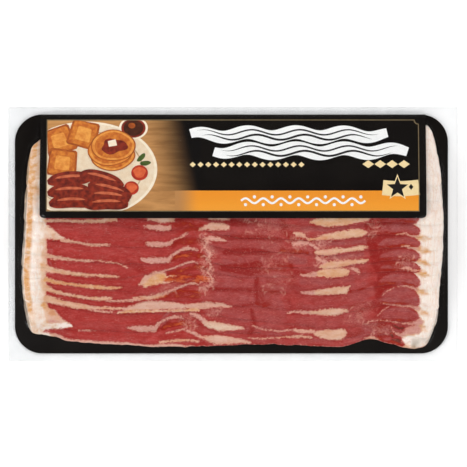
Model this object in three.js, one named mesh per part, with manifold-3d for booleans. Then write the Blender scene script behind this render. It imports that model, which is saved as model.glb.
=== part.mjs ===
// A flat vacuum pack of sliced bacon, in millimetres, lying on its back with its front up.
// +X runs along the slices, +Y towards the folded top edge of the card, +Z out of the front.
// The origin is under the middle of the pack, on the surface that it lies on.
//
// The slices lie like roof tiles: each rests on the ones below it and shows a narrow band.
// They lie on a black card whose top edge is folded over them as a flap, and a clear film is
// sealed flat all round the card. The film's skin over the front is too thin to be a solid, so
// the pouch is its back, its flat seal and the slope where it comes down from the slices.

import * as THREE from "three";
import { mergeVertices } from "three/addons/utils/BufferGeometryUtils.js";
import Module from "manifold-3d";

const pouch = {
  width: 280,
  height: 158,
  corner: 1.2,
  thickness: 0.5,
  slopeReach: 2.6, // how far past the card the film comes down to the seal
  slopeSteps: [
    { inset: 2.2, share: 0.35 },
    { inset: 8.5, share: 1 },
  ], // how far inside its foot the slope has climbed which share of its height
  slopeShare: 0.93, // of the pile's height that the slope reaches
  gap: 0.2,
  color: 0xe4e7ea,
};
const card = {
  width: 270,
  height: 149,
  corner: 17,
  boardX: -1, // the board lies a little left of the middle
  thickness: 0.7,
  flapWidth: 240,
  flapDrop: 64.6, // from the fold down to the flap's free edge
  flapCorner: 2.6,
  foldRadius: 1.3,
  flapRest: 0.5, // clearance over the slices
  color: 0x17130f,
};
const bacon = {
  pitch: 8.6, // the band of each slice that shows, on average
  rows: 5, // a slice is this many bands wide
  thickness: 3,
  gap: 0.25,
  edgeRound: 1.5,
  edgeShare: 0.5, // of the thickness that is left at a rounded edge
  bottom: -69.6, // the lowest slice's lower edge
  color: 0xb2494b,
};

// How far each slice's lower edge lies above its even place, from the lowest slice up, at seven
// places along X. Most climb into a pocket left of the middle and sag right of it.
const edgePlaces = [-116, -83, -48, -26, -2, 63, 104];
const edgeLifts = [
  [0, 0, 0, 0, 0, 0, 0],
  [-2, -1.1, 0, 5.4, 2, -4.4, -3],
  [4.3, 2.5, 3.2, 3.6, 0.6, -5.2, -2.9],
  [3.1, 0.8, 2.3, 2, -0.9, -5.6, -0.9],
  [1.4, -0.3, 0.9, 4.8, 0.4, -2, 2.9],
  [0.9, 0.3, 0.4, 4.8, 0.3, 0.4, 4.3],
  [-0.9, -1.4, -0.2, 5.4, -3.1, -2.5, 1.9],
  [0.1, 0.6, 1.2, 5.4, -1.7, -3.6, 0.7],
  [3.4, 5, 2.5, 5, -1, -2.9, -0.4],
  [4, 4, 4, 4.4, 2.5, -3, 0.9],
  [3.4, 2.6, 3, 3.2, 2.6, 2.4, 4.2],
  [4.2, 4.8, 4.6, 5, 4.4, 4.2, 5],
];
const sliceCount = edgeLifts.length;

// Heights that follow from the layers under the slices
const cardBottom = pouch.thickness + pouch.gap;
const cardTop = cardBottom + card.thickness;
const sliceFloor = cardTop + pouch.gap;
const layer = bacon.thickness + bacon.gap;
const sliceWidth = bacon.rows * bacon.pitch;
const foldY = card.height / 2;

// The slices share these stations along X, so that neighbours bend alike and never cross. Each
// slice has two more at each end: where it starts to round over, and the end itself.
const ends = { flatTo: 112, roundTo: 123, share: 0.9, fall: 0.03, steps: 2 };
const waveStations = 18;
const stations = Array.from({ length: waveStations + 1 }, (_, k) => {
  return ends.flatTo * ((2 * k) / waveStations - 1);
});
const lastStation = stations.length + 2 * ends.steps - 1;

// How thick the pile is along X: gently uneven, and squeezed thinner at both ends.
const pileWaves = [
  { height: 0.014, length: 21, phase: 0.6 },
  { height: 0.012, length: 47, phase: -1 },
];
function squeeze(x) {
  const far = Math.abs(x);
  if (far > ends.roundTo) return ends.share - ends.fall * (far - ends.roundTo);
  if (far > ends.flatTo) {
    const across = (far - ends.flatTo) / (ends.roundTo - ends.flatTo);
    return 1 - (1 - ends.share) * across;
  }
  const fade = 1 - (far / ends.flatTo) ** 4;
  const wave = pileWaves.map(({ height, length, phase }) => height * Math.sin(x / length + phase));
  return 1 + fade * wave.reduce((sum, part) => sum + part);
}

// The pile's left and right outline at height y, and the lowest slice's own lower edge.
const side = {
  left: -131.3,
  leftY: -25,
  leftBow: { above: 0.00086, below: 0.0041 },
  right: 130.5,
  rightY: 5,
  rightBow: 0.0019,
  jitter: 0.7, // how unevenly the slices' ends lie
};
const lowestSwells = [
  { x: -126, width: 20, lift: 5.2 },
  { x: 85, width: 11, lift: 4.6 },
  { x: 113, width: 9, lift: -2.6 },
];
const ripple = { lowest: 0.9, lowestLength: 17, lowestPhase: 0.5, height: 0.35, length: 10.5, shift: 2.9 };

function leftEdge(y) {
  const off = y - side.leftY;
  return side.left + (off > 0 ? side.leftBow.above : side.leftBow.below) * off * off;
}
function rightEdge(y) {
  return side.right - side.rightBow * (y - side.rightY) ** 2;
}
function swell(x, centre, width) {
  return Math.exp(-(((x - centre) / width) ** 2));
}
function lowestEdge(x) {
  const lifts = lowestSwells.map((part) => part.lift * swell(x, part.x, part.width));
  const wave = ripple.lowest * Math.sin(x / ripple.lowestLength + ripple.lowestPhase);
  return lifts.reduce((sum, lift) => sum + lift) + wave;
}
function edgeLift(lifts, x) {
  if (x <= edgePlaces[0]) return lifts[0];
  const next = edgePlaces.findIndex((place) => place > x);
  if (next < 0) return lifts.at(-1);
  const along = THREE.MathUtils.smoothstep(x, edgePlaces[next - 1], edgePlaces[next]);
  return THREE.MathUtils.lerp(lifts[next - 1], lifts[next], along);
}
function lowerEdge(i, x) {
  if (i === 0) return lowestEdge(x);
  const wave = ripple.height * Math.sin(x / ripple.length + ripple.shift * i);
  return edgeLift(edgeLifts[i], x) + wave;
}

// The rows of the pile bend: they climb towards the left end, and droop there under the flap.
const pileBend = {
  x: -128,
  width: 42,
  lift: 6.2,
  climb: { low: -10, high: 22 },
  droop: { low: 60, high: 138, share: 2.1 },
};
function pileY(x, v) {
  const climb = THREE.MathUtils.smoothstep(v, pileBend.climb.low, pileBend.climb.high);
  const droop = THREE.MathUtils.smoothstep(v, pileBend.droop.low, pileBend.droop.high);
  const bend = pileBend.lift * (climb - pileBend.droop.share * droop);
  return bacon.bottom + v + bend * swell(x, pileBend.x, pileBend.width);
}

// How many slices lie under slice i at distance s above its lower edge.
function layersUnder(i, s) {
  return Math.min(i, bacon.rows - s / bacon.pitch);
}

// One slice: a box whose points are moved onto the pile, row by row and station by station.
const rowsOfSlice = [0, bacon.edgeRound];
for (let row = 1; row <= bacon.rows; row++) rowsOfSlice.push(row * bacon.pitch);
const lastRow = rowsOfSlice.length - 1;
const endCorner = { lower: 1.6, upper: [-7, -2.4] }; // how far a slice's corners are cut back

function slicePoint(i, k, j, top) {
  const fromEnd = Math.min(k, lastStation - k);
  const sign = k < lastStation / 2 ? -1 : 1;
  const atEnd = fromEnd < ends.steps;
  const veryEnd = fromEnd === 0;
  let x = atEnd ? sign * (veryEnd ? side.right : ends.roundTo) : stations[k - ends.steps];
  let s = rowsOfSlice[j];
  if (j < 2) s += lowerEdge(i, x) + (veryEnd ? endCorner.lower : 0);
  if (j === lastRow && atEnd) s += endCorner.upper[fromEnd];
  const y = pileY(x, i * bacon.pitch + s);
  const end = (sign < 0 ? leftEdge(y) : rightEdge(y)) + side.jitter * Math.sin(2.3 * i + sign);
  if (veryEnd) x = end;
  const cramped = Math.abs(end) < ends.roundTo + 1;
  if (atEnd && !veryEnd && cramped) x = (end + sign * ends.flatTo) / 2;
  const edge = j === 0 || j === lastRow || veryEnd;
  const thickness = bacon.thickness * squeeze(x) * (edge ? bacon.edgeShare : 1);
  const z = sliceFloor + layer * squeeze(x) * layersUnder(i, s);
  return [x, y, top ? z + thickness : z];
}

function sliceGeometry(i) {
  const box = new THREE.BoxGeometry(1, 1, 1, lastStation, lastRow, 1);
  const position = box.getAttribute("position");
  for (let v = 0; v < position.count; v++) {
    const k = Math.round((position.getX(v) + 0.5) * lastStation);
    const j = Math.round((position.getY(v) + 0.5) * lastRow);
    position.setXYZ(v, ...slicePoint(i, k, j, position.getZ(v) > 0));
  }
  return box;
}

// A rectangle with round corners, centred on x = 0 between two heights.
function roundedRectangle(width, low, high, radii) {
  const [bottomRadius, topRadius] = radii;
  const half = width / 2;
  const shape = new THREE.Shape();
  shape.moveTo(-half + bottomRadius, low);
  shape.lineTo(half - bottomRadius, low);
  shape.absarc(half - bottomRadius, low + bottomRadius, bottomRadius, -Math.PI / 2, 0);
  if (topRadius > 0) shape.absarc(half - topRadius, high - topRadius, topRadius, 0, Math.PI / 2);
  else shape.lineTo(half, high);
  if (topRadius > 0) shape.absarc(topRadius - half, high - topRadius, topRadius, Math.PI / 2, Math.PI);
  else shape.lineTo(-half, high);
  shape.absarc(bottomRadius - half, low + bottomRadius, bottomRadius, Math.PI, 1.5 * Math.PI);
  return shape;
}

function slab(shape, low, high) {
  const geometry = new THREE.ExtrudeGeometry(shape, {
    depth: high - low,
    bevelEnabled: false,
    curveSegments: 7,
  });
  return geometry.translate(0, 0, low);
}

// Solids join and cut one another through the boolean library.
const wasm = await Module();
wasm.setup();

function solid(geometry) {
  const bare = geometry.clone();
  bare.deleteAttribute("normal");
  bare.deleteAttribute("uv");
  const merged = mergeVertices(bare, 1e-3);
  return new wasm.Manifold(
    new wasm.Mesh({
      numProp: 3,
      vertProperties: new Float32Array(merged.attributes.position.array),
      triVerts: new Uint32Array(merged.index.array),
    }),
  );
}

function geometryOf(manifold) {
  const mesh = manifold.getMesh();
  const geometry = new THREE.BufferGeometry();
  geometry.setAttribute("position", new THREE.BufferAttribute(mesh.vertProperties, 3));
  geometry.setIndex(new THREE.BufferAttribute(mesh.triVerts, 1));
  return geometry;
}

// The flap's underside in the Y-Z plane: over the fold, up the last slice, level to its free edge.
const crestZ = sliceFloor + layer * bacon.rows + bacon.thickness + card.flapRest;
const lastSliceY = bacon.bottom + (sliceCount - 1) * bacon.pitch;
const flapFreeY = foldY - card.flapDrop;
const slopeEndZ = sliceFloor + bacon.thickness + card.flapRest;
const flapLine = [
  { y: flapFreeY, z: crestZ },
  { y: flapFreeY + 8, z: crestZ + 0.2 },
  { y: lastSliceY - 3, z: crestZ + 0.3 },
  { y: lastSliceY + 5, z: crestZ - 0.9 },
  { y: lastSliceY + sliceWidth / 2, z: (crestZ + slopeEndZ) / 2 + 0.7 },
  { y: lastSliceY + sliceWidth - 4, z: slopeEndZ + 1.9 },
  { y: foldY - card.foldRadius - 0.7, z: cardTop + 1.7 * card.foldRadius },
];

function flapSection() {
  const under = new THREE.SplineCurve(flapLine.map(({ y, z }) => new THREE.Vector2(y, z)));
  const steps = 14;
  const inner = under.getPoints(steps);
  const outer = inner.map((point, n) => {
    const along = under.getTangent(n / steps);
    return new THREE.Vector2(point.x - along.y * card.thickness, point.y + along.x * card.thickness);
  });
  const shape = new THREE.Shape(inner);
  const inside = card.foldRadius - card.thickness / 2;
  const outside = inside + card.thickness;
  const foldCentre = new THREE.Vector2(foldY - outside, cardTop + inside);
  function arc(radius, from, to, arcSteps) {
    for (let step = 0; step <= arcSteps; step++) {
      const turn = THREE.MathUtils.lerp(from, to, step / arcSteps);
      shape.lineTo(foldCentre.x + radius * Math.cos(turn), foldCentre.y + radius * Math.sin(turn));
    }
  }
  arc(inside, Math.PI / 4, -Math.PI / 2, 4);
  shape.lineTo(foldCentre.x, cardBottom);
  arc(outside, -Math.PI / 2, 0.3 * Math.PI, 5);
  outer.reverse().forEach((point) => shape.lineTo(point.x, point.y));
  return shape;
}

function flapGeometry() {
  const half = card.flapWidth / 2;
  const across = [-half, ...stations, half];
  const strip = new THREE.ExtrudeGeometry(flapSection(), {
    depth: 1,
    steps: across.length - 1,
    bevelEnabled: false,
  });
  const position = strip.getAttribute("position");
  for (let v = 0; v < position.count; v++) {
    const station = Math.round(position.getZ(v) * (across.length - 1));
    const x = across[station];
    const height = position.getY(v);
    const lift = Math.max(0, height - sliceFloor) * squeeze(x);
    position.setXYZ(v, x, position.getX(v), Math.min(height, sliceFloor) + lift);
  }
  return strip;
}

// The card is one folded piece: the board behind the slices and the flap over their top.
const past = 5; // how far a cutting shape runs past what it cuts

function cardGeometry() {
  const plan = roundedRectangle(card.width, -foldY, foldY, [card.corner, card.corner]);
  const board = slab(plan, cardBottom, cardTop).translate(card.boardX, 0, 0);
  const flapPlan = roundedRectangle(card.flapWidth, flapFreeY, foldY + past, [card.flapCorner, 0]);
  const flap = solid(flapGeometry()).intersect(solid(slab(flapPlan, 0, crestZ + past)));
  return geometryOf(solid(board).add(flap));
}

// The pile's outline in plan, let out by a margin.
const outlineCorner = { along: 4, across: 3 };

function pileOutline(margin) {
  const steps = 12;
  const bottomSteps = 30;
  const low = bacon.bottom + outlineCorner.along;
  const top = lastSliceY + sliceWidth;
  const high = top - outlineCorner.along;
  const points = [];
  for (let n = 0; n <= bottomSteps; n++) {
    const x = THREE.MathUtils.lerp(leftEdge(low), rightEdge(low), n / bottomSteps);
    points.push(new THREE.Vector2(x, bacon.bottom + Math.min(0, lowestEdge(x)) - margin));
  }
  for (let n = 1; n <= steps; n++) {
    const y = THREE.MathUtils.lerp(low, high, n / steps);
    points.push(new THREE.Vector2(rightEdge(y) + margin, y));
  }
  points.push(new THREE.Vector2(rightEdge(top) - outlineCorner.across, top + margin));
  points.push(new THREE.Vector2(leftEdge(top) + outlineCorner.across, top + margin));
  for (let n = steps; n >= 1; n--) {
    const y = THREE.MathUtils.lerp(low, high, n / steps);
    points.push(new THREE.Vector2(leftEdge(y) - margin, y));
  }
  return new THREE.Shape(points);
}

// The film's height where it leaves the pile: low at the first and last slices, full between them.
const fewestLayers = 0.6;

function filmHeight(x, y) {
  const fromBottom = (y - bacon.bottom) / bacon.pitch + 1;
  const fromTop = (lastSliceY + sliceWidth - y) / bacon.pitch + 1;
  const most = bacon.rows + fewestLayers;
  const layers = THREE.MathUtils.clamp(Math.min(fromBottom, fromTop), fewestLayers, most);
  return sliceFloor + layer * squeeze(x) * layers * pouch.slopeShare;
}

// The slope of film all round the pile, as a ring of loops from the seal up to a crest inside it.
function filmSlope() {
  const around = 64;
  const edge = card.width / 2 + pouch.slopeReach;
  const edgeY = card.height / 2 + pouch.slopeReach;
  const outline = roundedRectangle(2 * edge, -edgeY, edgeY, [card.corner, card.corner]);
  const loop = outline.getSpacedPoints(around);
  const levels = [
    { inset: 0, height: () => pouch.thickness / 2 },
    { inset: 0, height: () => pouch.thickness },
    ...pouch.slopeSteps.map(({ inset, share }) => ({
      inset,
      height: (x, y) => THREE.MathUtils.lerp(cardTop, filmHeight(x, y), share),
    })),
  ];
  const drum = new THREE.CylinderGeometry(1, 1, 1, around, levels.length - 1);
  drum.rotateX(Math.PI / 2);
  const position = drum.getAttribute("position");
  for (let v = 0; v < position.count; v++) {
    const level = levels[Math.round((position.getZ(v) + 0.5) * (levels.length - 1))];
    const turn = Math.atan2(position.getY(v), position.getX(v)) / (2 * Math.PI);
    const point = loop[((Math.round(turn * around) % around) + around) % around];
    const centre = Math.hypot(position.getX(v), position.getY(v)) < 0.5;
    const x = centre ? 0 : point.x * (1 - level.inset / edge);
    const y = centre ? 0 : point.y * (1 - level.inset / edgeY);
    position.setXYZ(v, x, y, level.height(x, y));
  }
  return drum;
}

const room = { slices: 1, flap: 0.5, fold: 0.4 }; // what the pouch leaves free round them

function pouchGeometry() {
  const halfHeight = pouch.height / 2;
  const plan = roundedRectangle(pouch.width, -halfHeight, halfHeight, [pouch.corner, pouch.corner]);
  const boardEdge = foldY + pouch.gap;
  const boardPlan = roundedRectangle(
    card.width + 2 * pouch.gap, -boardEdge, boardEdge, [card.corner, card.corner],
  );
  const boardSlot = slab(boardPlan, pouch.thickness, sliceFloor).translate(card.boardX, 0, 0);
  const flapPlan = roundedRectangle(
    card.flapWidth + 2 * room.flap, flapFreeY - room.flap, foldY + room.fold, [card.flapCorner, 0],
  );
  const above = crestZ + past;
  const body = solid(slab(plan, 0, pouch.thickness)).add(solid(filmSlope()));
  return geometryOf(
    body
      .subtract(solid(boardSlot))
      .subtract(solid(slab(pileOutline(room.slices), pouch.thickness, above)))
      .subtract(solid(slab(flapPlan, pouch.thickness, above))),
  );
}

const film = new THREE.MeshStandardMaterial({
  color: pouch.color,
  roughness: 0.12,
  metalness: 0,
  transparent: true,
  opacity: 0.3,
});
const blackCard = new THREE.MeshStandardMaterial({ color: card.color, roughness: 0.35, metalness: 0 });
const rawBacon = new THREE.MeshStandardMaterial({ color: bacon.color, roughness: 0.3, metalness: 0 });

function piece(name, geometry, material) {
  geometry.computeVertexNormals();
  const mesh = new THREE.Mesh(geometry, material);
  mesh.name = name;
  return mesh;
}

const pack = new THREE.Group();
pack.add(piece("film_pouch", pouchGeometry(), film));
pack.add(piece("folded_card", cardGeometry(), blackCard));
for (let i = 0; i < sliceCount; i++) {
  const name = `slice_${String(i + 1).padStart(2, "0")}`;
  pack.add(piece(name, sliceGeometry(i), rawBacon));
}

export default pack;
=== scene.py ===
import math

import bmesh
import bpy
import numpy as np
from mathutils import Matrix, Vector
from mathutils.bvhtree import BVHTree


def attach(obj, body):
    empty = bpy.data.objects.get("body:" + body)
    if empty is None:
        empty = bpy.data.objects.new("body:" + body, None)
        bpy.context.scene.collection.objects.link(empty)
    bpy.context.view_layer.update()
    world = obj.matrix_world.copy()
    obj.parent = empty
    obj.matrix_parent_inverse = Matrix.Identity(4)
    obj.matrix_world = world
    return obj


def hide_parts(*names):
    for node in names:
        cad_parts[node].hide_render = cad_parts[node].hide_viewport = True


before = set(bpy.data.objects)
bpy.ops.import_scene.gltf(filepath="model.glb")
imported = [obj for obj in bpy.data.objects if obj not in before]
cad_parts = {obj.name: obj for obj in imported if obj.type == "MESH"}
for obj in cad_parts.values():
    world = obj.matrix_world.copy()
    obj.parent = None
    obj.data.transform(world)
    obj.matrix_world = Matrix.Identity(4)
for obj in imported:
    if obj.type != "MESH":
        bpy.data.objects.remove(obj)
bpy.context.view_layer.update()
print("frame loaded:", len(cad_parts), "pieces")

mm = 0.001

# Sizes that the pieces share, in millimetres as the pack is built
pack = {
    "filmWidth": 280, "filmHeight": 158, "filmFloor": 0.5, "gap": 0.2,
    "boardWidth": 270, "boardHeight": 149, "boardCorner": 17, "boardX": -1.0,
    "cardThickness": 0.7,
    "flapWidth": 240, "flapDrop": 64.6, "flapCorner": 2.6, "foldRadius": 1.3,
}
foldY = pack["boardHeight"] / 2
flapFreeY = foldY - pack["flapDrop"]
boardBottom = pack["filmFloor"] + pack["gap"]
boardTop = boardBottom + pack["cardThickness"]
sliceFloor = boardTop + pack["gap"]

pile = {
    "pitch": 8.6, "rows": 5, "thickness": 3.0, "gap": 0.25, "bottom": -69.6,
    "left": -131.3, "leftY": -25, "right": 130.5, "rightY": 5,
    "leftCurveLow": 0.0041, "leftCurveHigh": 0.0006, "rightCurve": 0.0019,
    "flatTo": 112, "roundTo": 123, "share": 0.9, "fall": 0.03,
    "bend": 6.2, "droop": 2.1, "levelTo": 78, "levelEnd": 92, "levelHeight": 12,
}
layer = pile["thickness"] + pile["gap"]
sliceWidth = pile["rows"] * pile["pitch"]

# How far each slice's lower edge lies above its even place, at these places along X
edgePlaces = (-116, -100, -83, -70, -58, -48, -40, -33, -26, -20, -14, 2, 15, 35, 63, 84, 95, 108, 118)
edgeLifts = (
    (0,) * 19,
    (-1.3, -1, -0.5, -0.5, -0.5, 0.6, 6.8, 8.2, 7, 4.4, 1.9, -0.6, -0.6, -2.8, -5.6, -1.8, -1.8, -2.4, -4.3),
    (3.8, 1.9, 1.4, 1.7, 2.3, 2.5, 3.2, 3.5, 3.9, 3.3, 2, -0.5, -1.7, -3.6, -6.7, -4.2, -2.3, -2.3, -5.4),
    (3.3, 0.6, 0.2, 0.6, 1.1, 1.7, 2, 2.7, 2.7, 2.1, 0.9, -1, -1, -3.5, -6.9, -2.2, -0.4, -1, -4.1),
    (1.5, -1.1, -1.6, -0.6, -2.5, -4.2, -1, 1.9, 4.1, 2.2, 0.7, 0.4, -0.3, -1.5, -3.1, 1.6, 3.5, 2.9, -0.3),
    (-0.3, -2.9, -2.4, -2.3, 0.1, 2.2, 3.5, 6.7, 8.9, 6.1, 3, -0.1, -0.1, -0.1, -1.1, 2.3, 3, 3.6, 1.1),
    (-0.8, -2.1, -1.7, -1.6, -1, -0.8, 0.5, 5.5, 8.7, 5.6, 0.6, -3.1, -3.1, -3.1, -3.1, 0, 1.2, 1.8, 0),
    (-1.3, 0.5, 0, 0.7, 0.9, 1.1, 1.9, 5.6, 8.8, 5.7, 1.9, -1.8, -1.8, -2.4, -4.3, -0.6, 0.1, 1, -0.6),
    (2.6, 4.6, 6.1, 5, 3.6, 2.5, 2.6, 3.9, 5.8, 3.9, 2, -1.7, -1.7, -2.9, -3.6, -0.4, 0.2, -0.4, -1.1),
    (4, 4, 4.1, 3.4, 1.3, -0.5, -0.4, 1.5, 3.4, 2.8, 1.5, 0.9, -0.3, -2.2, -4.1, -1.6, -0.3, -1, -2.2),
    (3.4, 3, 2.6, 2.8, 3, 3, 3, 3.2, 3.2, 3, 2.8, 2.6, 2.6, 2.5, 2.4, 3, 3.6, 4.2, 4.2),
    (4.2, 4.5, 4.8, 4.7, 4.6, 4.7, 4.8, 4.9, 5, 4.8, 4.6, 4.4, 4.4, 4.3, 4.2, 4.5, 4.8, 5, 5),
)
sliceCount = len(edgeLifts)


def smooth(value, low, high):
    t = np.clip((value - low) / (high - low), 0, 1)
    return t * t * (3 - 2 * t)


def swell(x, centre, width):
    return np.exp(-(((x - centre) / width) ** 2))


def squeeze(x):  # how thick the pile is along X
    far = np.abs(x)
    fade = 1 - np.minimum(far / pile["flatTo"], 1) ** 4
    wave = 1 + fade * (0.014 * np.sin(x / 21 + 0.6) + 0.012 * np.sin(x / 47 - 1))
    across = (far - pile["flatTo"]) / (pile["roundTo"] - pile["flatTo"])
    shoulder = 1 - (1 - pile["share"]) * across
    end = pile["share"] - pile["fall"] * (far - pile["roundTo"])
    return np.where(far > pile["roundTo"], end, np.where(far > pile["flatTo"], shoulder, wave))


def leftEdge(y):
    off = y - pile["leftY"]
    curve = np.where(off > 0, pile["leftCurveHigh"], pile["leftCurveLow"])
    return pile["left"] + curve * off * off + 1.2 * smooth(off, 0, 25)


def rightEdge(y):
    return pile["right"] - pile["rightCurve"] * (y - pile["rightY"]) ** 2 + 2.6 * swell(y, -53, 13)


def lowestEdge(x):
    dip = 4.6 * swell(x, 85, 11) - 2.6 * swell(x, 113, 9)
    return 5.2 * swell(x, -126, 20) + dip + 0.9 * np.sin(x / 17 + 0.5)


def lowerEdge(i, x):
    if i == 0:
        return lowestEdge(x)
    spread = np.linspace(-3, 3, 7)
    weights = np.exp(-(spread / 2) ** 2)
    lift = sum(w * np.interp(x + s, edgePlaces, edgeLifts[i]) for s, w in zip(spread, weights))
    return lift / weights.sum()


def levelling(x, v, z):  # the vacuum evens out the hollows that shifted edges would leave
    lifts = [lowerEdge(j, x) for j in range(sliceCount)]
    lift = lifts[0]
    for j in range(sliceCount - 1):
        start = j * pile["pitch"] + lifts[j]
        run = pile["pitch"] + lifts[j + 1] - lifts[j]
        lift = lift + (lifts[j + 1] - lifts[j]) * np.clip((v - start) / run, 0, 1)
    underFlap = smooth(v, pile["levelTo"], pile["levelEnd"])
    high = np.clip((z - sliceFloor) / pile["levelHeight"], 0, 1)
    return layer / pile["pitch"] * lift * high * (1 - underFlap)


def pileY(x, v):  # the rows of the pile bend towards the left end
    start = smooth(v, -10, 22)
    droop = pile["droop"] * smooth(v, 60, 138)
    return pile["bottom"] + v + pile["bend"] * swell(x, -128, 42) * (start - droop)


fieldSize = 256
randomField = np.random.default_rng(11).uniform(-1, 1, (fieldSize, fieldSize))


def fieldRow(row, column, s):  # one row of the field, between a column and the next
    here = randomField[row % fieldSize, column % fieldSize]
    following = randomField[row % fieldSize, (column + 1) % fieldSize]
    return here * (1 - s) + following * s


def patchy(a, b, seed=0, octaves=2):  # a smooth uneven field between -1 and 1
    total, weight = 0, 1
    for n in range(octaves):
        u = a * 2 ** n + 37.3 * seed + 11.7 * n
        v = b * 2 ** n + 91.9 * seed + 5.1 * n
        column, row = np.floor(u).astype(int), np.floor(v).astype(int)
        s, t = smooth(u - column, 0, 1), smooth(v - row, 0, 1)
        total = total + weight * (fieldRow(row, column, s) * (1 - t) + fieldRow(row + 1, column, s) * t)
        weight *= 0.5
    return total / (2 - weight * 2)


# Mesh and material helpers
def gridSheet(columns, rows):
    sheet = bmesh.new()
    bmesh.ops.create_grid(sheet, x_segments=columns, y_segments=rows, size=0.5)
    sheet.verts.ensure_lookup_table()
    at = np.array([v.co for v in sheet.verts])
    return sheet, at[:, 0] + 0.5, at[:, 1] + 0.5


def placeSheet(sheet, x, y, z, start=0):
    for v, point in zip(list(sheet.verts)[start:], np.column_stack((x, y, z))):
        v.co = point * mm


def addUnderside(sheet, x, y, z):  # the sheet's own copy, turned over and set at its own heights
    copied = bmesh.ops.duplicate(sheet, geom=sheet.verts[:] + sheet.edges[:] + sheet.faces[:])
    underFaces = [part for part in copied["geom"] if isinstance(part, bmesh.types.BMFace)]
    bmesh.ops.reverse_faces(sheet, faces=underFaces)
    placeSheet(sheet, x, y, z, start=len(x))


def finishPiece(shape, name, material, replaced=(), sharpAngle=None):
    mesh = bpy.data.meshes.new(name)
    shape.to_mesh(mesh)
    shape.free()
    mesh.shade_smooth()
    if sharpAngle:
        mesh.set_sharp_from_angle(angle=math.radians(sharpAngle))
    mesh.materials.append(material)
    piece = bpy.data.objects.new(name, mesh)
    bpy.context.scene.collection.objects.link(piece)
    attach(piece, "root")
    if replaced:
        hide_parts(*replaced)
    return piece


def newMaterial(name, specular=0.5):
    material = bpy.data.materials.new(name)
    material.use_nodes = True
    tree = material.node_tree
    tree.nodes.clear()
    output = tree.nodes.new("ShaderNodeOutputMaterial")
    shader = tree.nodes.new("ShaderNodeBsdfPrincipled")
    shader.inputs["Specular IOR Level"].default_value = specular
    tree.links.new(shader.outputs["BSDF"], output.inputs["Surface"])
    return material, tree, shader


def link(tree, source, target):
    tree.links.new(source, target)


def feed(tree, target, value):  # a socket takes a link or a plain value
    if isinstance(value, bpy.types.NodeSocket):
        tree.links.new(value, target)
    else:
        target.default_value = value


def calc(tree, operation, a, b=0.0, clamp=False):
    node = tree.nodes.new("ShaderNodeMath")
    node.operation = operation
    node.use_clamp = clamp
    feed(tree, node.inputs[0], a)
    feed(tree, node.inputs[1], b)
    return node.outputs[0]


def times(tree, a, b):
    return calc(tree, "MULTIPLY", a, b)


def plus(tree, a, b):
    return calc(tree, "ADD", a, b)


def larger(tree, a, b):
    return calc(tree, "MAXIMUM", a, b)


def fromMiddle(tree, field, amount=1.0):  # a noise field, counted from its middle
    return times(tree, calc(tree, "SUBTRACT", field, 0.5), amount)


def split(tree, vector):  # a vector's X, Y and Z
    node = tree.nodes.new("ShaderNodeSeparateXYZ")
    link(tree, vector, node.inputs[0])
    return node.outputs


def readAttribute(tree, name):
    node = tree.nodes.new("ShaderNodeAttribute")
    node.attribute_name = name
    return node


def mixColor(tree, factor, a, b):
    node = tree.nodes.new("ShaderNodeMix")
    node.data_type = "RGBA"
    feed(tree, node.inputs[0], factor)
    feed(tree, node.inputs[6], a)
    feed(tree, node.inputs[7], b)
    return node.outputs[2]


def ramp(tree, value, low, high, to=(0.0, 1.0)):
    node = tree.nodes.new("ShaderNodeMapRange")
    node.interpolation_type = "SMOOTHSTEP"
    feed(tree, node.inputs["Value"], value)
    node.inputs["From Min"].default_value = low
    node.inputs["From Max"].default_value = high
    node.inputs["To Min"].default_value = to[0]
    node.inputs["To Max"].default_value = to[1]
    return node.outputs[0]


def threadLines(tree, field, outer, inner, to=(0.0, 1.0)):  # thin lines along a field's middle value
    return ramp(tree, calc(tree, "ABSOLUTE", fromMiddle(tree, field)), outer, inner, to)


def placeIn(tree, scale=(1, 1, 1), turn=0.0):  # object coordinates, counted in millimetres
    coords = tree.nodes.new("ShaderNodeTexCoord")
    mapping = tree.nodes.new("ShaderNodeMapping")
    link(tree, coords.outputs["Object"], mapping.inputs["Vector"])
    mapping.inputs["Scale"].default_value = [1000 * s for s in scale]
    mapping.inputs["Rotation"].default_value = (0, 0, turn)
    return mapping.outputs["Vector"]


def noiseField(tree, vector, scale, detail=2.0, rough=0.5, distortion=0.0):
    node = tree.nodes.new("ShaderNodeTexNoise")
    link(tree, vector, node.inputs["Vector"])
    node.inputs["Scale"].default_value = scale
    node.inputs["Detail"].default_value = detail
    node.inputs["Roughness"].default_value = rough
    node.inputs["Distortion"].default_value = distortion
    return node.outputs["Fac"]


def color(r, g, b):  # screen colour, 0 to 255, as Blender's linear light
    def linear(value):
        value /= 255
        return value / 12.92 if value <= 0.04045 else ((value + 0.055) / 1.055) ** 2.4
    return (linear(r), linear(g), linear(b), 1.0)


def between(tree, field, low, high, tones):  # from one colour to another as a field rises
    return mixColor(tree, ramp(tree, field, low, high), color(*tones[0]), color(*tones[1]))


def tinted(tree, base, field, low, high, strength, tone):  # a colour over the base where a field is high
    return mixColor(tree, ramp(tree, field, low, high, (0.0, strength)), base, color(*tone))


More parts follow.
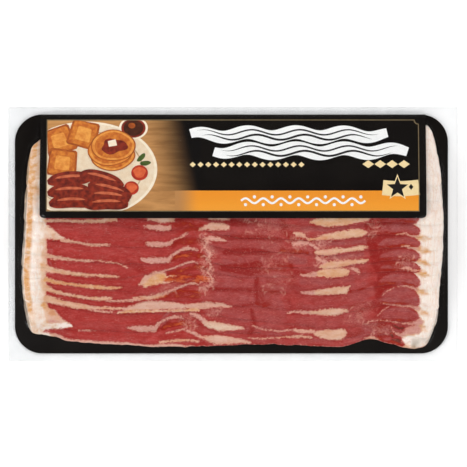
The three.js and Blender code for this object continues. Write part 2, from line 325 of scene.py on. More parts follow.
def makeReliefGroup():  # fine uneven relief, shared by every material
    group = bpy.data.node_groups.new("fineRelief", "ShaderNodeTree")
    for name, kind, way in (
        ("Vector", "NodeSocketVector", "INPUT"),
        ("Scale", "NodeSocketFloat", "INPUT"),
        ("Depth", "NodeSocketFloat", "INPUT"),
        ("Normal", "NodeSocketVector", "OUTPUT"),
        ("Mask", "NodeSocketFloat", "OUTPUT"),
    ):
        group.interface.new_socket(name=name, in_out=way, socket_type=kind)
    inside = group.nodes.new("NodeGroupInput")
    outside = group.nodes.new("NodeGroupOutput")
    field = group.nodes.new("ShaderNodeTexNoise")
    field.inputs["Detail"].default_value = 3.0
    bump = group.nodes.new("ShaderNodeBump")
    bump.inputs["Strength"].default_value = 0.6
    group.links.new(inside.outputs["Vector"], field.inputs["Vector"])
    group.links.new(inside.outputs["Scale"], field.inputs["Scale"])
    group.links.new(inside.outputs["Depth"], bump.inputs["Distance"])
    group.links.new(field.outputs["Fac"], bump.inputs["Height"])
    group.links.new(bump.outputs["Normal"], outside.inputs["Normal"])
    group.links.new(field.outputs["Fac"], outside.inputs["Mask"])
    return group


reliefGroup = makeReliefGroup()


def relief(tree, shader, vector, scale, depth):
    node = tree.nodes.new("ShaderNodeGroup")
    node.node_tree = reliefGroup
    link(tree, vector, node.inputs["Vector"])
    node.inputs["Scale"].default_value = scale
    node.inputs["Depth"].default_value = depth * mm
    link(tree, node.outputs["Normal"], shader.inputs["Normal"])
    return node.outputs["Mask"]


# Bacon: what each slice is made of, worked out at every point of its mesh.
# Places along X are in millimetres, and heights are above the slice's own lower edge.
meat = {
    "columns": 520, "endRound": 2.6, "edgeRound": 6.5, "cornerCut": 3.2,
    "pillowLow": 0.12, "pillowHigh": 0.6, "endShift": 0.7,
    "rowSteps": (0, 0.12, 0.35, 0.7, 1.15, 1.7, 2.4),
    "fineStep": 0.62, "fineTo": 17, "coarseStep": 3.4,
    "leanLeft": -116, "leanRight": 116.5, "leftRagged": 1.2, "leftNotch": 2.6,
    "ovalInset": 4.6, "ovalBulge": 4.2, "ovalFrom": 88, "ovalMiddle": 105, "ovalHalf": 16, "rightNotch": 8,
    "rimWidth": 1.3, "rimPink": 0.6, "juiceAndShadeMost": 0.82, "fatSwell": 0.16, "creaseDepth": 0.14,
    "bandLeast": 2.5, "bandAbove": 5, "crowding": 0.12, "settles": 4, "weld": 0.02,
}

# Strokes of tissue along lines of points (x, y, half width), each after its own strengths.
# Streaks and linings of fat: amber and pink first.
fatStrokes = (
    (0.1, 0.9, -19, -2.5, 0.3, -15.9, -5.3, 0.6, -18, -8.4, 0.3, -13.4, -12.7, 0.6, -16.5, -15.5, 0.3,
     -13.1, -20, 0.6, -16, -23.4, 0.3, -12.2, -28.3, 0.6, -15.2, -33, 0.3),
    (0.5, 0.25, -118.8, 8.1, 0.9, -107.6, 8.4, 0.9, -95.2, 7.8, 1, -82.7, 8.1, 1.2, -72.8, 9, 1.2),
    (0, 0.07, -121.3, 3.1, 6.2, -113.8, 0.3, 3.5, -107.6, -2.2, 1.6, -102.6, -3.7, 0.5),
    (0.3, 0.35, -106.4, -3.7, 0.95, -97.7, -5, 0.7, -88.9, -6.8, 0.7, -82.7, -6.8, 0.7, -76.5, -6.8, 0.4),
    (0.3, 0.3, -118.8, -12.4, 1.9, -112.6, -14.3, 1.3, -106.4, -15.2, 1.15, -97.7, -16.2, 0.65,
     -91.4, -16.8, 0.7, -84, -16.5, 0.4, -77.8, -17.4, 0.4, -71.5, -18, 0.3, -65.3, -21.1, 0.2),
    (0.5, 0.2, -117.6, -20.5, 2.5, -112.6, -22.4, 1.7, -103.9, -23.9, 1.4, -95.2, -25.2, 1.15,
     -85.2, -25.8, 0.7, -79, -26.1, 1.1, -71.5, -26.7, 0.6),
    (1, 0.12, -116.3, -28, 1.6, -111.3, -29.5, 1.2, -102.6, -31.1, 0.9, -95.2, -32, 0.9, -87.7, -32.7, 1.2,
     -81.5, -33.3, 1.1, -75.3, -33.6, 0.7, -69, -33.3, 0.3),
    (0.5, 0.2, -116.3, -33.6, 1.9, -110.1, -36.1, 1.2, -102.6, -37.6, 0.9, -95.2, -39.2, 0.9,
     -87.7, -40.1, 1.1, -80.2, -40.1, 1.2, -75.9, -40.1, 0.9),
    (0.2, 0.6, -79, -41.4, 0.3, -72.8, -41.7, 0.6, -65.3, -41.4, 0.7, -57.8, -40.7, 0.8),
    (0.45, 0.2, -115.1, -40.4, 2.5, -107.6, -42.6, 1.7, -100.1, -44.2, 1.6, -92.7, -45.4, 1.45,
     -85.2, -46, 0.9, -76.5, -46.3, 0.9, -67.8, -46.3, 0.7),
    (0.1, 0.5, -90.2, -47, 0.2, -82.7, -48.2, 0.6, -75.3, -48.8, 0.4),
    (0.2, 0.35, -120, -51, 7.5, -113.8, -52.2, 5.6, -107.6, -55, 2.9, -100.8, -57.2, 0.9),
    (0, 1, -119, -54.4, 0.8, -112.6, -54.7, 0.9, -106, -55.6, 0.5),
    (0, 0, -120, -57.8, 2.5, -112.6, -57.5, 2, -105.1, -56.9, 2, -101.4, -56.9, 1.4),
    (0.1, 0.8, -96.4, -60.3, 0.1, -90.6, -60.1, 0.5, -85.8, -60.6, 0),
    (0.2, 0.35, -52.2, 9.3, 1, -44.2, 8.7, 1.6, -37.9, 9, 1.7),
    (0.2, 0.85, -54.7, 4.4, 0.6, -51, 4.4, 1.4, -45.4, 3.7, 1.7, -40.4, 3.4, 1.5, -38.6, 5, 0.6),
    (0.35, 0.5, -21.1, 2.5, 0.5, -18, 3.7, 1, -14.3, 4.7, 2.2, -8.1, 4.7, 2.4, -3.7, 4, 1.5,
     -2.5, 3.1, 0.5),
    (0.2, 0.3, -14.3, 10, 1.2, -6.8, 9.6, 1.1, -2.5, 9.3, 0.5),
    (0.25, 0.9, -53.5, -6.2, 0.9, -49.8, -6.2, 1.6, -44.2, -6.5, 1.7, -39.2, -5.9, 1.2, -37.9, -4.4, 0.6),
    (0, 0.9, -38.6, -4.4, 0.5, -34.2, -2.5, 0.4, -30.5, -0.9, 0.6, -28.6, 0.3, 0.6),
    (0.2, 0.8, -17.4, -2.8, 0.6, -13.1, -2.8, 1.4, -8.1, -3.4, 1.2, -5, -4.4, 0.4),
    (0.2, 0.9, -56.6, -15.9, 0.9, -51.6, -16.5, 1.8, -45.4, -16.5, 1.8, -40.4, -16.2, 1.7,
     -38.6, -14.3, 0.9),
    (0, 0.8, -39.2, -14, 0.6, -35.5, -11.8, 0.6, -31.7, -9.6, 0.8, -28, -8.6, 1.2, -24.3, -9.6, 0.8,
     -21.8, -10, 0.4),
    (0.3, 0.6, -58.5, -31.7, 0.6, -52.9, -28.3, 2.9, -47.9, -25.5, 2.2, -43.5, -23.6, 1),
    (0.75, 0.1, -54.7, -32, 1.2, -49.1, -29.2, 2.9, -45.2, -27.6, 2.9, -42.4, -25.2, 1),
    (0.95, 0, -45, -29.9, 1.1, -40.4, -29.9, 0.5, -36, -29.2, 0),
    (0.95, 0, -44.5, -26.9, 1.1, -40, -26.4, 0.6, -34.6, -25.9, 0),
    (0, 0.8, -42.9, -23, 0.6, -37.9, -21.5, 0.5, -33, -19.6, 0.45, -28, -17.7, 0.45, -24.3, -17.1, 0.6,
     -21.8, -18, 0.4),
    (0.6, 0.4, -61.6, -39.8, 0.6, -54.1, -39.8, 1.3, -47.9, -38.9, 1.5, -42.9, -37.3, 1),
    (0.1, 0.8, -43.5, -37.3, 0.9, -37.9, -35.1, 0.6, -33, -33, 0.6, -28, -31.1, 0.7, -24.3, -30.5, 0.7,
     -21.8, -31.4, 0.4),
    (0, 0.48, -67.8, -47, 1, -61.6, -46, 1.7, -56.6, -44.8, 2.6, -50.4, -44.5, 3, -42.9, -44.5, 2.6,
     -35.5, -44.8, 1.9, -28, -45.1, 1.1),
    (0.25, 0.6, -26.7, -45.1, 1.5, -21.8, -44.8, 2, -15.6, -44.2, 2.1, -10.6, -44.2, 1.5, -5.6, -44.5, 1.4,
     -1.2, -45.4, 0.5),
    (0.85, 0, -71.5, -49.1, 0.6, -64.1, -48.2, 0.9, -51.6, -47.9, 0.8, -40.4, -47.9, 0.6,
     -30.5, -47.6, 0.7, -21.8, -47, 1.2),
    (0.2, 0.9, -65.3, -58.5, 0.6, -60.3, -58.8, 1.6, -54.1, -59.1, 1.7, -49.1, -59.1, 1.9,
     -47.3, -57.2, 0.9),
    (0, 0.75, -47.9, -56.6, 0.6, -44.2, -54.4, 0.6, -40.4, -52.6, 0.6, -36.1, -51.5, 0.8,
     -32.3, -51.9, 0.6, -30.5, -52.9, 0.3),
    (0, 0.9, -26.7, -49.1, 0.5, -23, -50.7, 1.2, -20.5, -52.2, 1.4, -17.4, -54.7, 1.2),
    (0, 0.1, -18, -55.4, 1, -14.3, -56.6, 2.2, -9.3, -57.5, 2.8, -4.4, -58.2, 2.2, 1.9, -58.5, 1.3,
     6.8, -58.8, 0.6),
    (0, 0.9, -29.2, -60, 0.5, -25.5, -61.6, 0.9, -20.5, -63.8, 0.9),
    (0.3, 0.5, -20.5, -64.4, 0.8, -15.6, -65, 1.7, -10.6, -65.9, 2.9, -4.4, -66.2, 2.4, 3.1, -66.6, 1.6,
     10.6, -67.8, 0.7),
    (0.1, 0.8, -41.7, -61.9, 0.2, -36.7, -60.6, 0.4, -30.5, -59.4, 0.4),
    (0.6, 0.2, -45.4, -67.5, 0.6, -37.9, -66.6, 0.8, -29.2, -66.2, 0.7, -21.8, -66.9, 0.7),
    (0.6, 0.4, 9.3, -64.7, 0.3, 18, -65.3, 0.4, 28, -64.7, 0.3, 35.5, -63.8, 0.4),
    (0.1, 0.8, 11.8, -56.9, 0.3, 18, -59.4, 0.4, 29.2, -60.6, 0.4, 39.2, -59.1, 0.4),
    (0.6, 0.15, 47.9, 7.5, 0.6, 52.9, 7.5, 2.4, 60.3, 7.8, 3.4, 67.8, 8.4, 3.4, 76.5, 9.3, 2.5,
     82.7, 9.6, 1.9),
    (0.4, 0.3, 37.9, 0.6, 0.6, 39.8, 0, 1.4, 42.3, -0.3, 1.4, 45.4, -2.2, 0.5),
    (0.45, 0.15, 51.6, -3.1, 0.5, 57.8, -1.6, 1.7, 66.6, -0.9, 2.6, 74, 0.3, 2.7, 79, 0.6, 2.6,
     82.7, 0.9, 0.9),
    (0.95, 0, 46.6, -3.4, 0.6, 52.9, -3, 0.8, 57.8, -2.8, 0.6),
    (0, 0.95, 37.9, -6.2, 1.2, 41.7, -5.6, 1.6, 45.4, -5.6, 0.8, 49.8, -6.8, 0.6, 52.2, -9.3, 1),
    (0.4, 0.2, 52.2, -11.5, 1.5, 57.8, -11.5, 2, 65.3, -10.3, 1.8, 70.3, -10, 1.3, 75.3, -9.3, 1.4,
     80.2, -8.4, 1.7, 83.3, -8.1, 0.6),
    (0, 0.9, 52.2, -14.9, 0.8, 55.4, -16.8, 1, 58.5, -18, 1.2),
    (0.55, 0.2, 54.1, -20.5, 1, 60.3, -19.3, 2.4, 67.8, -18.3, 2.1, 74, -17.4, 1.3, 80.2, -16.8, 1.3,
     83.3, -16.2, 0.6),
    (0.65, 0.2, 49.1, -25.5, 0.6, 53.5, -24.6, 2.1, 59.1, -24.3, 3, 65.3, -23.9, 3, 69, -23.6, 2.6,
     70.9, -23, 1.2),
    (0.2, 0.9, 42.3, -25.5, 0.5, 46, -25.8, 0.9, 50.4, -24.9, 1.6),
    (0.2, 0.8, 74, -21.1, 0.7, 77.1, -22.7, 1.2, 78.4, -24.3, 0.5),
    (0.1, 1, 42.9, -36.4, 0.7, 47.9, -36.7, 1.2, 52.9, -36.4, 1.7),
    (0.4, 0.2, 52.2, -36.4, 1.6, 59.1, -35.8, 2.2, 65.3, -35.1, 2.4, 69.7, -34.8, 2.2, 72.2, -32.7, 0.5),
    (0.1, 0.8, 34.2, -49.1, 0.4, 39.2, -48.2, 0.7, 45.4, -48.8, 1, 50.4, -48.8, 1.2),
    (0.3, 0.3, 49.8, -48.8, 1.2, 55.4, -48.8, 1.9, 61.6, -48.5, 2.3, 66.6, -48.2, 1.9, 70.9, -47.6, 0.8),
    (0.2, 0.55, 37.9, -60, 0.7, 44.2, -60.6, 1.2, 50.4, -60.6, 1.1),
    (0.35, 0.3, 51.6, -61.9, 1.5, 55.4, -62.5, 2.6, 61.6, -62.8, 3.4, 66.6, -62.5, 3.4, 68.4, -61.6, 2.5),
    (0.5, 0.5, 34.2, -64.4, 0.5, 41.7, -63.8, 0.8, 49.1, -64.4, 0.7),
    (0, 0.6, 101.4, -0.3, 0.2, 107, 0.3, 0.5, 110.7, -1.2, 0.4, 115.1, -1.6, 0.5),
    (0, 0.5, 103.9, -8.1, 0.2, 108.2, -7.2, 0.6, 109.5, -8.7, 0.8, 115.1, -9, 0.7),
    (0, 0.8, 103.9, -21.8, 0.3, 108.2, -20.8, 0.8, 112, -22.7, 0.6, 115.7, -23, 0.6),
    (0.3, 1, 101.4, -33, 0, 106.4, -32.3, 0.4, 110.7, -33, 0.6, 114.4, -34.8, 0.6),
    (0.3, 1, 91.4, -42.6, 0, 97.7, -43.9, 0.1, 105.1, -44.7, 0.3, 111.3, -45.1, 0.7, 115.1, -46.6, 1),
    (0.4, 1, 84, -54.7, 0.3, 90.2, -53.5, 0.1, 98.9, -54.4, 0.1, 106.4, -55.7, 0.3, 112, -55.7, 1,
     116.3, -54.7, 1.9),
    (0.3, 1, 98.3, -57.8, 0.1, 100.8, -61.6, 0.4, 105.1, -63.1, 0.9, 108.8, -60.3, 2.1, 113.8, -59.7, 3.1),
    (0, 0, 106.4, -65.9, 1.2, 110.1, -67.2, 3.5, 114.4, -66.9, 4.4, 117.6, -67.2, 3.5),
    (0.2, 0.3, 82.1, -65, 0.4, 86.5, -64.4, 0.9, 90.2, -65.6, 0.5),
    (0.2, 1, 92.7, -38.6, 0, 95.8, -35.5, 0.15, 100.1, -33.3, 0),
    (0.2, 1, 89.6, -51, 0.1, 93.3, -47.3, 0.2, 97, -45.1, 0),
)
# Smears of rendered fat, from orange red to amber: strength first
stainStrokes = (
    (0.5, -37.9, 7.5, 1.9, -29.2, 5, 3.1, -21.8, 5, 3.1),
    (0.45, -37.9, -7.5, 1.2, -33, -5, 2, -25.5, -4.4, 2.1, -18.7, -4.4, 1.9),
    (0.7, -37.9, -15.6, 0.9, -33, -13.7, 1.4, -25.5, -13.1, 1.4, -18.7, -13.7, 1.4),
    (0.6, -40.4, -25.5, 1.2, -33, -23, 1.2, -23, -20.5, 1.5, -16.8, -21.8, 2),
    (0.75, -40.4, -27.4, 3.1, -31.7, -28, 2.8, -23, -28, 2.6, -16.2, -27.7, 2.5),
    (1, -45.4, -29.2, 1.6, -41.7, -28.9, 1.7, -37.9, -28, 1),
    (1, -21.8, -27.4, 1.6, -18, -27.4, 2.1, -15.6, -27.7, 1.6),
    (0.65, -56.6, -39.8, 0.7, -47.9, -39.5, 1.2, -39.2, -37.9, 1.9, -30.5, -36.7, 2.7, -23, -37.3, 3.1),
    (0.65, -46.6, -59.7, 0.9, -40.4, -56.9, 1.6, -33, -55.4, 1.6, -26.7, -56.6, 1.2),
    (0.6, 29.2, -10.3, 1, 39.2, -10.9, 1.3, 46, -11.5, 0.9),
    (0.55, 35.5, -2.2, 1.2, 40.4, -2.8, 1.2, 44.2, -3.1, 0.5),
    (0.25, -0.6, 0, 0.6, 8.1, 0.6, 0.9, 15.6, 0, 0.6),
    (0.4, 15.6, -42.9, 1.9, 19.3, -42.9, 2.9, 23, -42.3, 1.9),
    (0.35, 20.5, -22.4, 2.5, 26.7, -21.1, 3.1, 35.5, -20.5, 2.5),
    (0.35, 20.5, -34.8, 1.2, 26.7, -36.1, 1.2, 34.2, -36.7, 0.6),
    (0.3, 91.4, 0.6, 0.6, 98.9, 0, 1.5, 106.4, 1.6, 1),
    (0.3, 91.4, -7.5, 0.9, 98.9, -7.2, 0.9, 105.1, -6.2, 0.6),
    (0.35, 93.9, -17.4, 1.2, 100.1, -18.7, 1.9, 103.9, -19.9, 1.9),
    (0.3, 90.2, -29.9, 0.6, 97.7, -31.7, 1, 106.4, -30.5, 0.9),
    (0.35, 70.3, -33.6, 0.9, 72.2, -35.5, 1.2, 76.5, -35.5, 1, 86.5, -31.1, 0.6),
    (0.3, 66.6, -44.2, 0.6, 74, -44.8, 0.9, 82.7, -42.3, 0.6),
    (0.2, 82.7, -56, 2.5, 90.2, -58.5, 3.7, 95.2, -61, 3.7),
    (0.3, 68.4, -62.2, 1.9, 74, -62.2, 2.5, 80.2, -61, 1.9),
    (0.75, 115.5, -1.9, 1.9, 118.8, -2.6, 1.5, 124.6, -3.5, -0.9),
    (0.75, 116, -9.6, 1.9, 119.3, -10.3, 1.5, 125.4, -11.6, -0.9),
    (0.8, 115.8, -16.8, 1.8, 118.8, -18.1, 1.6, 124, -20.2, -0.9),
    (1, 115.8, -23.6, 1.9, 118.8, -24.8, 1.8, 123.4, -26.4, -0.9),
    (0.75, 115, -35.5, 1.7, 118.5, -36.5, 1.5, 123.6, -38, -0.9),
    (0.7, 115, -47.9, 1.7, 118.8, -49.2, 1.4, 124.6, -51, -0.9),
    (0.75, 114.2, -56, 2, 117.6, -58.4, 1.8, 121.8, -61.4, -0.9),
    (0.4, -116.3, -2.5, 0.9, -108.8, -3.7, 0.6),
    (0.35, -120, -10, 1.2, -116.3, -13.7, 1.9),
    (0.4, -118.8, -29.9, 1.9, -115.1, -34.8, 1.9),
    (0.85, -117.6, -44.2, 1.7, -112.6, -49.5, 1.7, -108.8, -52.5, 1),
)
# Dark creases, partly meat juice and partly painted shade under the edges of the slices that lie over them:
# strength first
juiceAndShadeStrokes = (
    (0.8, -4.4, 6.5, 1.6, 6.8, 7.2, 1.6, 14.3, 7.8, 1),
    (0.75, -4.4, -2.2, 1.1, 6.8, -2.2, 1.2, 18, -2.5, 1, 29.2, -3.7, 0.9),
    (0.85, -4.4, -11.2, 1.3, 4.4, -10.9, 1.6, 13.1, -10.9, 1.4, 21.8, -11.8, 0.6),
    (0.85, -6.8, -21.1, 1.4, 4.4, -21.8, 2.6, 10.6, -21.8, 3.7, 14.9, -20.5, 3.1),
    (0.65, -13.1, -34.2, 0.9, -5.6, -34.8, 0.7, 4.4, -34.2, 0.6, 13.1, -34.8, 0.6),
    (0.6, -5, -44.2, 0.5, 4.4, -45.4, 0.5, 11.8, -43.5, 0.5),
    (0.75, 14.9, -27.4, 0.6, 14.3, -33.6, 0.8, 15.2, -42.3, 0.9),
    (0.75, 11.5, -47.3, 0.6, 13.1, -54.7, 0.9, 10.6, -62.2, 1),
    (0.6, 31.1, 7.5, 1.6, 32.3, 2.5, 1.9, 36.7, -2.5, 1.6),
    (0.5, 36.7, -31.7, 1.9, 40.4, -34.8, 2.1),
    (0.5, 36.7, -24.9, 1.5, 42.9, -23.6, 1.2),
    (0.5, 34.8, -41.1, 0.6, 36.1, -46, 0.6),
    (0.45, 21.8, -29.2, 0.6, 26.7, -31.7, 0.6),
    (0.35, 18, -11.2, 1, 24.3, -13.7, 0.9),
    (0.5, 15, -33, 1.4, 19, -36, 1.8, 17, -40, 1.2),
    (0.45, 26, -17.4, 1, 31, -18.6, 1),
    (0.55, -40.4, -24.9, 0.5, -31.7, -25.5, 0.6, -21.8, -25.2, 0.4),
    (0.4, -37.9, 6.8, 0.9, -26.7, 9.3, 1.2),
    (0.4, -37.9, 1.9, 0.6, -29.2, 1.2, 0.6),
    (0.5, -37.3, -8.1, 0.6, -35.5, -5.6, 0.9),
    (0.45, -35.5, -16.8, 0.6, -26.7, -15.6, 0.6),
    (0.5, -20.5, -57.8, 1.2, -23, -64.7, 1.5, -18, -69, 1.2),
    (0.75, 84.6, 7.5, 2.5, 85.8, -2.5, 2.7, 87.7, -12.4, 2.5, 89.6, -22.4, 1.6),
    (0.6, 89.6, -31.7, 1.9, 90.8, -38.6, 1.9),
    (0.6, 87.7, -43.5, 1.6, 89.6, -48.5, 1.4),
    (0.5, 80.2, -47.3, 1.2, 85.2, -44.8, 1.2),
    (0.55, 82.7, 1.2, 0.6, 90.2, -1.9, 1),
    (0.5, 91.4, -22.4, 0.6, 103.9, -23.9, 0.7, 113.8, -23.6, 0.6),
    (0.6, 92.7, -18, 1, 101.4, -17.4, 1),
    (0.5, 92.1, -10, 0.7, 101.4, -9, 0.6),
    (0.5, 91.4, -30.5, 0.6, 100.1, -32.3, 0.6),
    (0.5, 89.6, -42.3, 0.5, 94.5, -44.2, 0.5),
    (0.45, 110.1, -42.9, 0.6, 115.1, -41.1, 0.6),
    (0.5, 88.9, -51.6, 0.6, 93.9, -53.5, 0.6),
    (0.45, 108.8, -54.1, 0.6, 113.8, -52.2, 0.6),
    (0.35, -76.5, 7.5, 1.2, -61.6, 5, 1.9, -56.6, 7.5, 1.9),
    (0.35, -65.3, -17.4, 1.2, -57.8, -21.1, 1.9, -54.1, -26.1, 1.2),
    (0.3, -70.3, -36.1, 1.2, -61.6, -34.8, 1.9),
    (0.4, -75.3, -43.9, 0.7, -60.3, -43.2, 0.7),
    (0.3, -45.4, -64.7, 0.9, -33, -63.4, 0.9),
    (0.5, 10.6, -64.1, 0.7, 23, -64.1, 0.6, 33, -64.7, 0.6),
)
# Bare lean with a mauve bloom: strength first
mauveStrokes = (
    (1, 42.9, 3.1, 1.2, 60.3, 2.8, 1, 74, 3.4, 0.7),
    (1, 52.9, -5.6, 1.2, 66.6, -5.9, 1.2, 82.7, -4.7, 1.5),
    (1, 57.8, -14.6, 1, 69, -14, 1.2, 80.2, -12.8, 1),
    (1, 36.7, -16.2, 2.5, 44.2, -16.8, 1.9),
    (0.9, 42.9, -29.9, 1.6, 60.3, -29.9, 1.9, 74, -28, 1.6),
    (0.55, -4.4, 2.8, 1.1, 8.1, 2.8, 1.1, 18, 3.1, 1.2),
    (0.55, -6.8, -5.9, 1.6, 4.4, -6.2, 1.7, 18, -6.2, 1.5),
    (0.55, -6.8, -15.2, 1.5, 4.4, -15.2, 1.4, 13.1, -14.9, 1.1),
    (0.55, -13.1, -29.9, 2.5, -1.9, -29.9, 2.5, 11.8, -30.5, 2.5),
    (0.55, -10.6, -39.2, 2.5, 0.6, -39.8, 2.5, 11.8, -39.2, 2.5),
    (0.15, 24.3, -14.3, 2.5, 33, -13.1, 2.5, 34.2, -17.4, 1.9),
    (0.6, 26.7, -41.1, 3.1, 29.2, -48.5, 4.4, 26.7, -55.4, 3.7),
    (1, 82.7, -57.2, 2.5, 91.4, -58.5, 3.1, 96.4, -61.6, 1.9),
    (0.7, 69, -39.8, 2.5, 79, -38.6, 3.1, 86.5, -35.5, 2.5),
    (1, 94, 4.4, 2, 110, 4.4, 2),
)
# Brown spots by the lower right corner: strength first
brownStrokes = (
    (1, 99.5, -66, 0.9, 102.6, -66.6, 1.5, 105.1, -67.2, 1.3),
    (1, 99.5, -56.9, 0.6, 103.3, -58.8, 0.9, 106.4, -58.5, 0.7),
    (1, 98, -60.3, 0.7, 99.5, -64.1, 0.9),
)


def strokeDepth(x, y, points):  # how far inside a stroke each place lies, in millimetres
    inside = np.full_like(x, -9.0)
    spots = np.reshape(points, (-1, 3))
    reach = spots[:, 2].max() + 3
    near = (x > spots[:, 0].min() - reach) & (x < spots[:, 0].max() + reach)
    near &= (y > spots[:, 1].min() - reach) & (y < spots[:, 1].max() + reach)
    px, py = x[near], y[near]
    best = inside[near]
    for (ax, ay, ar), (bx, by, br) in zip(spots, spots[1:]):
        dx, dy = bx - ax, by - ay
        t = np.clip(((px - ax) * dx + (py - ay) * dy) / (dx * dx + dy * dy), 0, 1)
        best = np.maximum(best, ar + t * (br - ar) - np.hypot(px - ax - t * dx, py - ay - t * dy))
    inside[near] = best
    return inside


def strokesOver(field, x, y, strokes, fray, low, high, gain=1.0):  # strokes laid over a field of tissue
    for strength, *points in strokes:
        inside = strokeDepth(x, y, points)
        field = np.maximum(field, gain * strength * smooth(inside + fray, low, high))
    return field


# Places where fine white fibres cross the slices: middle, half sizes, strength
fringes = (
    (-16.2, -17.5, 4, 19, 1.0), (56, -10, 5, 10, 0.9), (27, -18, 9, 19, 0.26), (107, -17, 5, 5, 0.7),
    (42, -4, 5, 6, 0.8), (-27, -55, 5, 5, 0.7), (-13, -48, 5, 4, 0.6), (70, -18, 9, 5, 0.5),
    (86, 5, 5, 7, 0.5), (79, -50, 7, 7, 0.35), (-40, -33, 5, 4, 0.5), (20, 4, 14, 6, 0.35),
    (90, -59, 7, 4, 0.5),
)


def makeCurls():  # short pale fibres, scattered where the fringes lie
    rng = np.random.default_rng(5)
    found = []
    for cx, cy, rx, ry, strength in fringes:
        for _ in range(round(0.6 * rx * ry * strength)):
            turn, reach, bend = rng.uniform(0, 3.1), rng.uniform(0.7, 2.0), rng.uniform(-0.7, 0.7)
            x, y = cx + rx * rng.uniform(-1, 1), cy + ry * rng.uniform(-1, 1)
            dx, dy = reach * math.cos(turn), reach * math.sin(turn)
            middle = (x + bend * dy, y - bend * dx, rng.uniform(0.3, 0.55))
            bright = rng.uniform(0.5, 1) * (0.45 + 0.55 * strength)
            found.append((bright, x - dx, y - dy, 0.1, *middle, x + dx, y + dy, 0.1))
    return tuple(found)


curls = makeCurls()


def strandsAt(x, y):  # where fine threads may lie, and the curls
    threads = 0 * x
    for cx, cy, rx, ry, strength in fringes:
        zigzag = cx + 0.5 * rx * np.sin(y / 2.6)
        threads = np.maximum(threads, strength * np.exp(-((x - zigzag) / rx) ** 4 - ((y - cy) / ry) ** 4))
    return threads, strokesOver(0 * x, x, y, curls, 0, -0.4, 0.25)


def fatAt(i, x, y, h, band, ragged):  # how deep inside fat each place lies, and how amber and pink it is
    fat = meat["leanLeft"] + 0.5 + meat["leftRagged"] * patchy(y * 0.16, 0 * y, 2)
    fat = fat - x - meat["leftNotch"] * smooth(-y, 59, 61)
    bulge = np.clip(1 - (2 * h / band - 0.9) ** 2, 0, 1)
    boundRight = meat["leanRight"] - meat["ovalInset"] + meat["ovalBulge"] * bulge ** 0.8
    boundRight = boundRight - meat["rightNotch"] * smooth(-y, 57, 62)
    fat = np.maximum(fat, (x - boundRight) * 0.8) + 0.35 * ragged
    amber = np.zeros_like(x)
    pink = (0.15 + 0.15 * patchy(x * 0.2, y * 0.2, 12)) * (1 - smooth(x, 110, 116))
    for tint, blush, *points in fatStrokes:
        inside = strokeDepth(x, y, points)
        inside += (0.12 + 0.46 * min(max(points[2::3]), 1.6)) * ragged
        here = smooth(inside, -0.8, 0.5)
        fat = np.maximum(fat, inside)
        amber = amber * (1 - here) + tint * here
        pink = pink * (1 - here) + blush * here
    if i == 0:  # the lowest slice has a pale rim
        width = meat["rimWidth"] + 0.6 * patchy(x * 0.07, 0 * x, 3)
        rim = width * (1 - smooth(x, -38, -20)) - h + 0.3 * ragged
        fat = np.maximum(fat, rim)
        pink = np.where(rim > -0.5, meat["rimPink"], pink)
    return fat, amber, pink


def stainAt(x, y, h, fromLeft, ragged):  # smears, the smoked skin along the left end, and the ovals' rims
    stain = strokesOver(0 * x, x, y, stainStrokes, 0.8 * ragged, -1.3, 0.9)
    skin = smooth(fromLeft, 0.4, 1.8) * (1 - smooth(fromLeft, 3.8, 6)) * (1 - 0.5 * smooth(-y, 44, 52))
    skin = skin * (0.88 + 0.2 * patchy(y * 0.1, x * 0.3, 5))
    peach = smooth(x, -122, -119) * (1 - smooth(x, -113, -108))
    peach = peach * (0.2 + 0.45 * patchy(x * 0.4, y * 0.4, 15))
    smoked = smooth(-x, 116, 121) * smooth(y, 8, 35) * (0.6 + 0.5 * patchy(x * 0.3, y * 0.15, 16))
    ovalRim = 0.55 * smooth(x, meat["ovalFrom"], 91) * (1 - smooth(x, 112, 115))
    ovalRim = ovalRim * np.exp(-((h - 1.3) / 1.1) ** 2)
    for part in (skin, peach, smoked, ovalRim):
        stain = np.maximum(stain, part)
    return stain


def zonesAt(x, h, band):  # the lean's middle, the ovals at the right end, and the gaps outside them, which take painted shade
    middle = smooth(x, -20, -8) * (1 - smooth(x, 26, 40))
    ovals = smooth(x, meat["ovalFrom"], 94)
    reach = np.clip(1 - ((x - meat["ovalMiddle"]) / meat["ovalHalf"]) ** 2, 0, 1) ** 0.42
    return middle, ovals, smooth(h - (band - 0.8) * reach, -0.9, 0.5)


def juiceAndShadeAt(x, y, h, band, fat, ragged):  # dark red where slices meet and beside the ovals: meat juice, with painted shade under the edges above
    middle, _, outside = zonesAt(x, h, band)
    creaseStrength = np.clip(0.35 + 0.75 * patchy(x * 0.06, y * 0.25, 33), 0, 1)
    # painted shade, partly meat juice, where the next slice's lower edge lies over this one
    juiceAndShade = creaseStrength * (0.15 + 0.45 * middle) * np.exp(-((h - band) / 1.7) ** 2)
    juiceAndShade += creaseStrength * 0.3 * (1 - smooth(x, -50, -30)) * np.exp(-((h - band) / 2.2) ** 2)
    uneven = 1 - smooth(x, 96, 101) * np.clip(0.5 - 1.6 * patchy(x * 0.2, y * 0.1, 36), 0, 0.9)
    # painted shade in the gaps outside the ovals, and darker along each slice's own lower edge there
    low = 0.6 * np.exp(-(h / 1.2) ** 2)
    juiceAndShade = np.maximum(juiceAndShade, smooth(x, meat["ovalFrom"], 91) * np.maximum(0.85 * outside, low) * uneven)
    juiceAndShade = strokesOver(juiceAndShade, x, y, juiceAndShadeStrokes, 0.6 * ragged, -1.6, 0.3, gain=1.1)
    # a painted contact shadow round the streaks of fat
    outline = smooth(fat, -1.7, -0.7) * np.clip(0.4 + 0.5 * patchy(x * 0.15, y * 0.5, 38), 0, 1)
    juiceAndShade = np.maximum(juiceAndShade, outline * (1 - smooth(x, 100, 110)))
    juiceAndShade = np.minimum(juiceAndShade * (1 + 0.35 * patchy(x * 0.3, y * 0.5, 70)), meat["juiceAndShadeMost"])
    return strokesOver(juiceAndShade, x, y, brownStrokes, 0.5 * ragged, -1.2, 0.4)


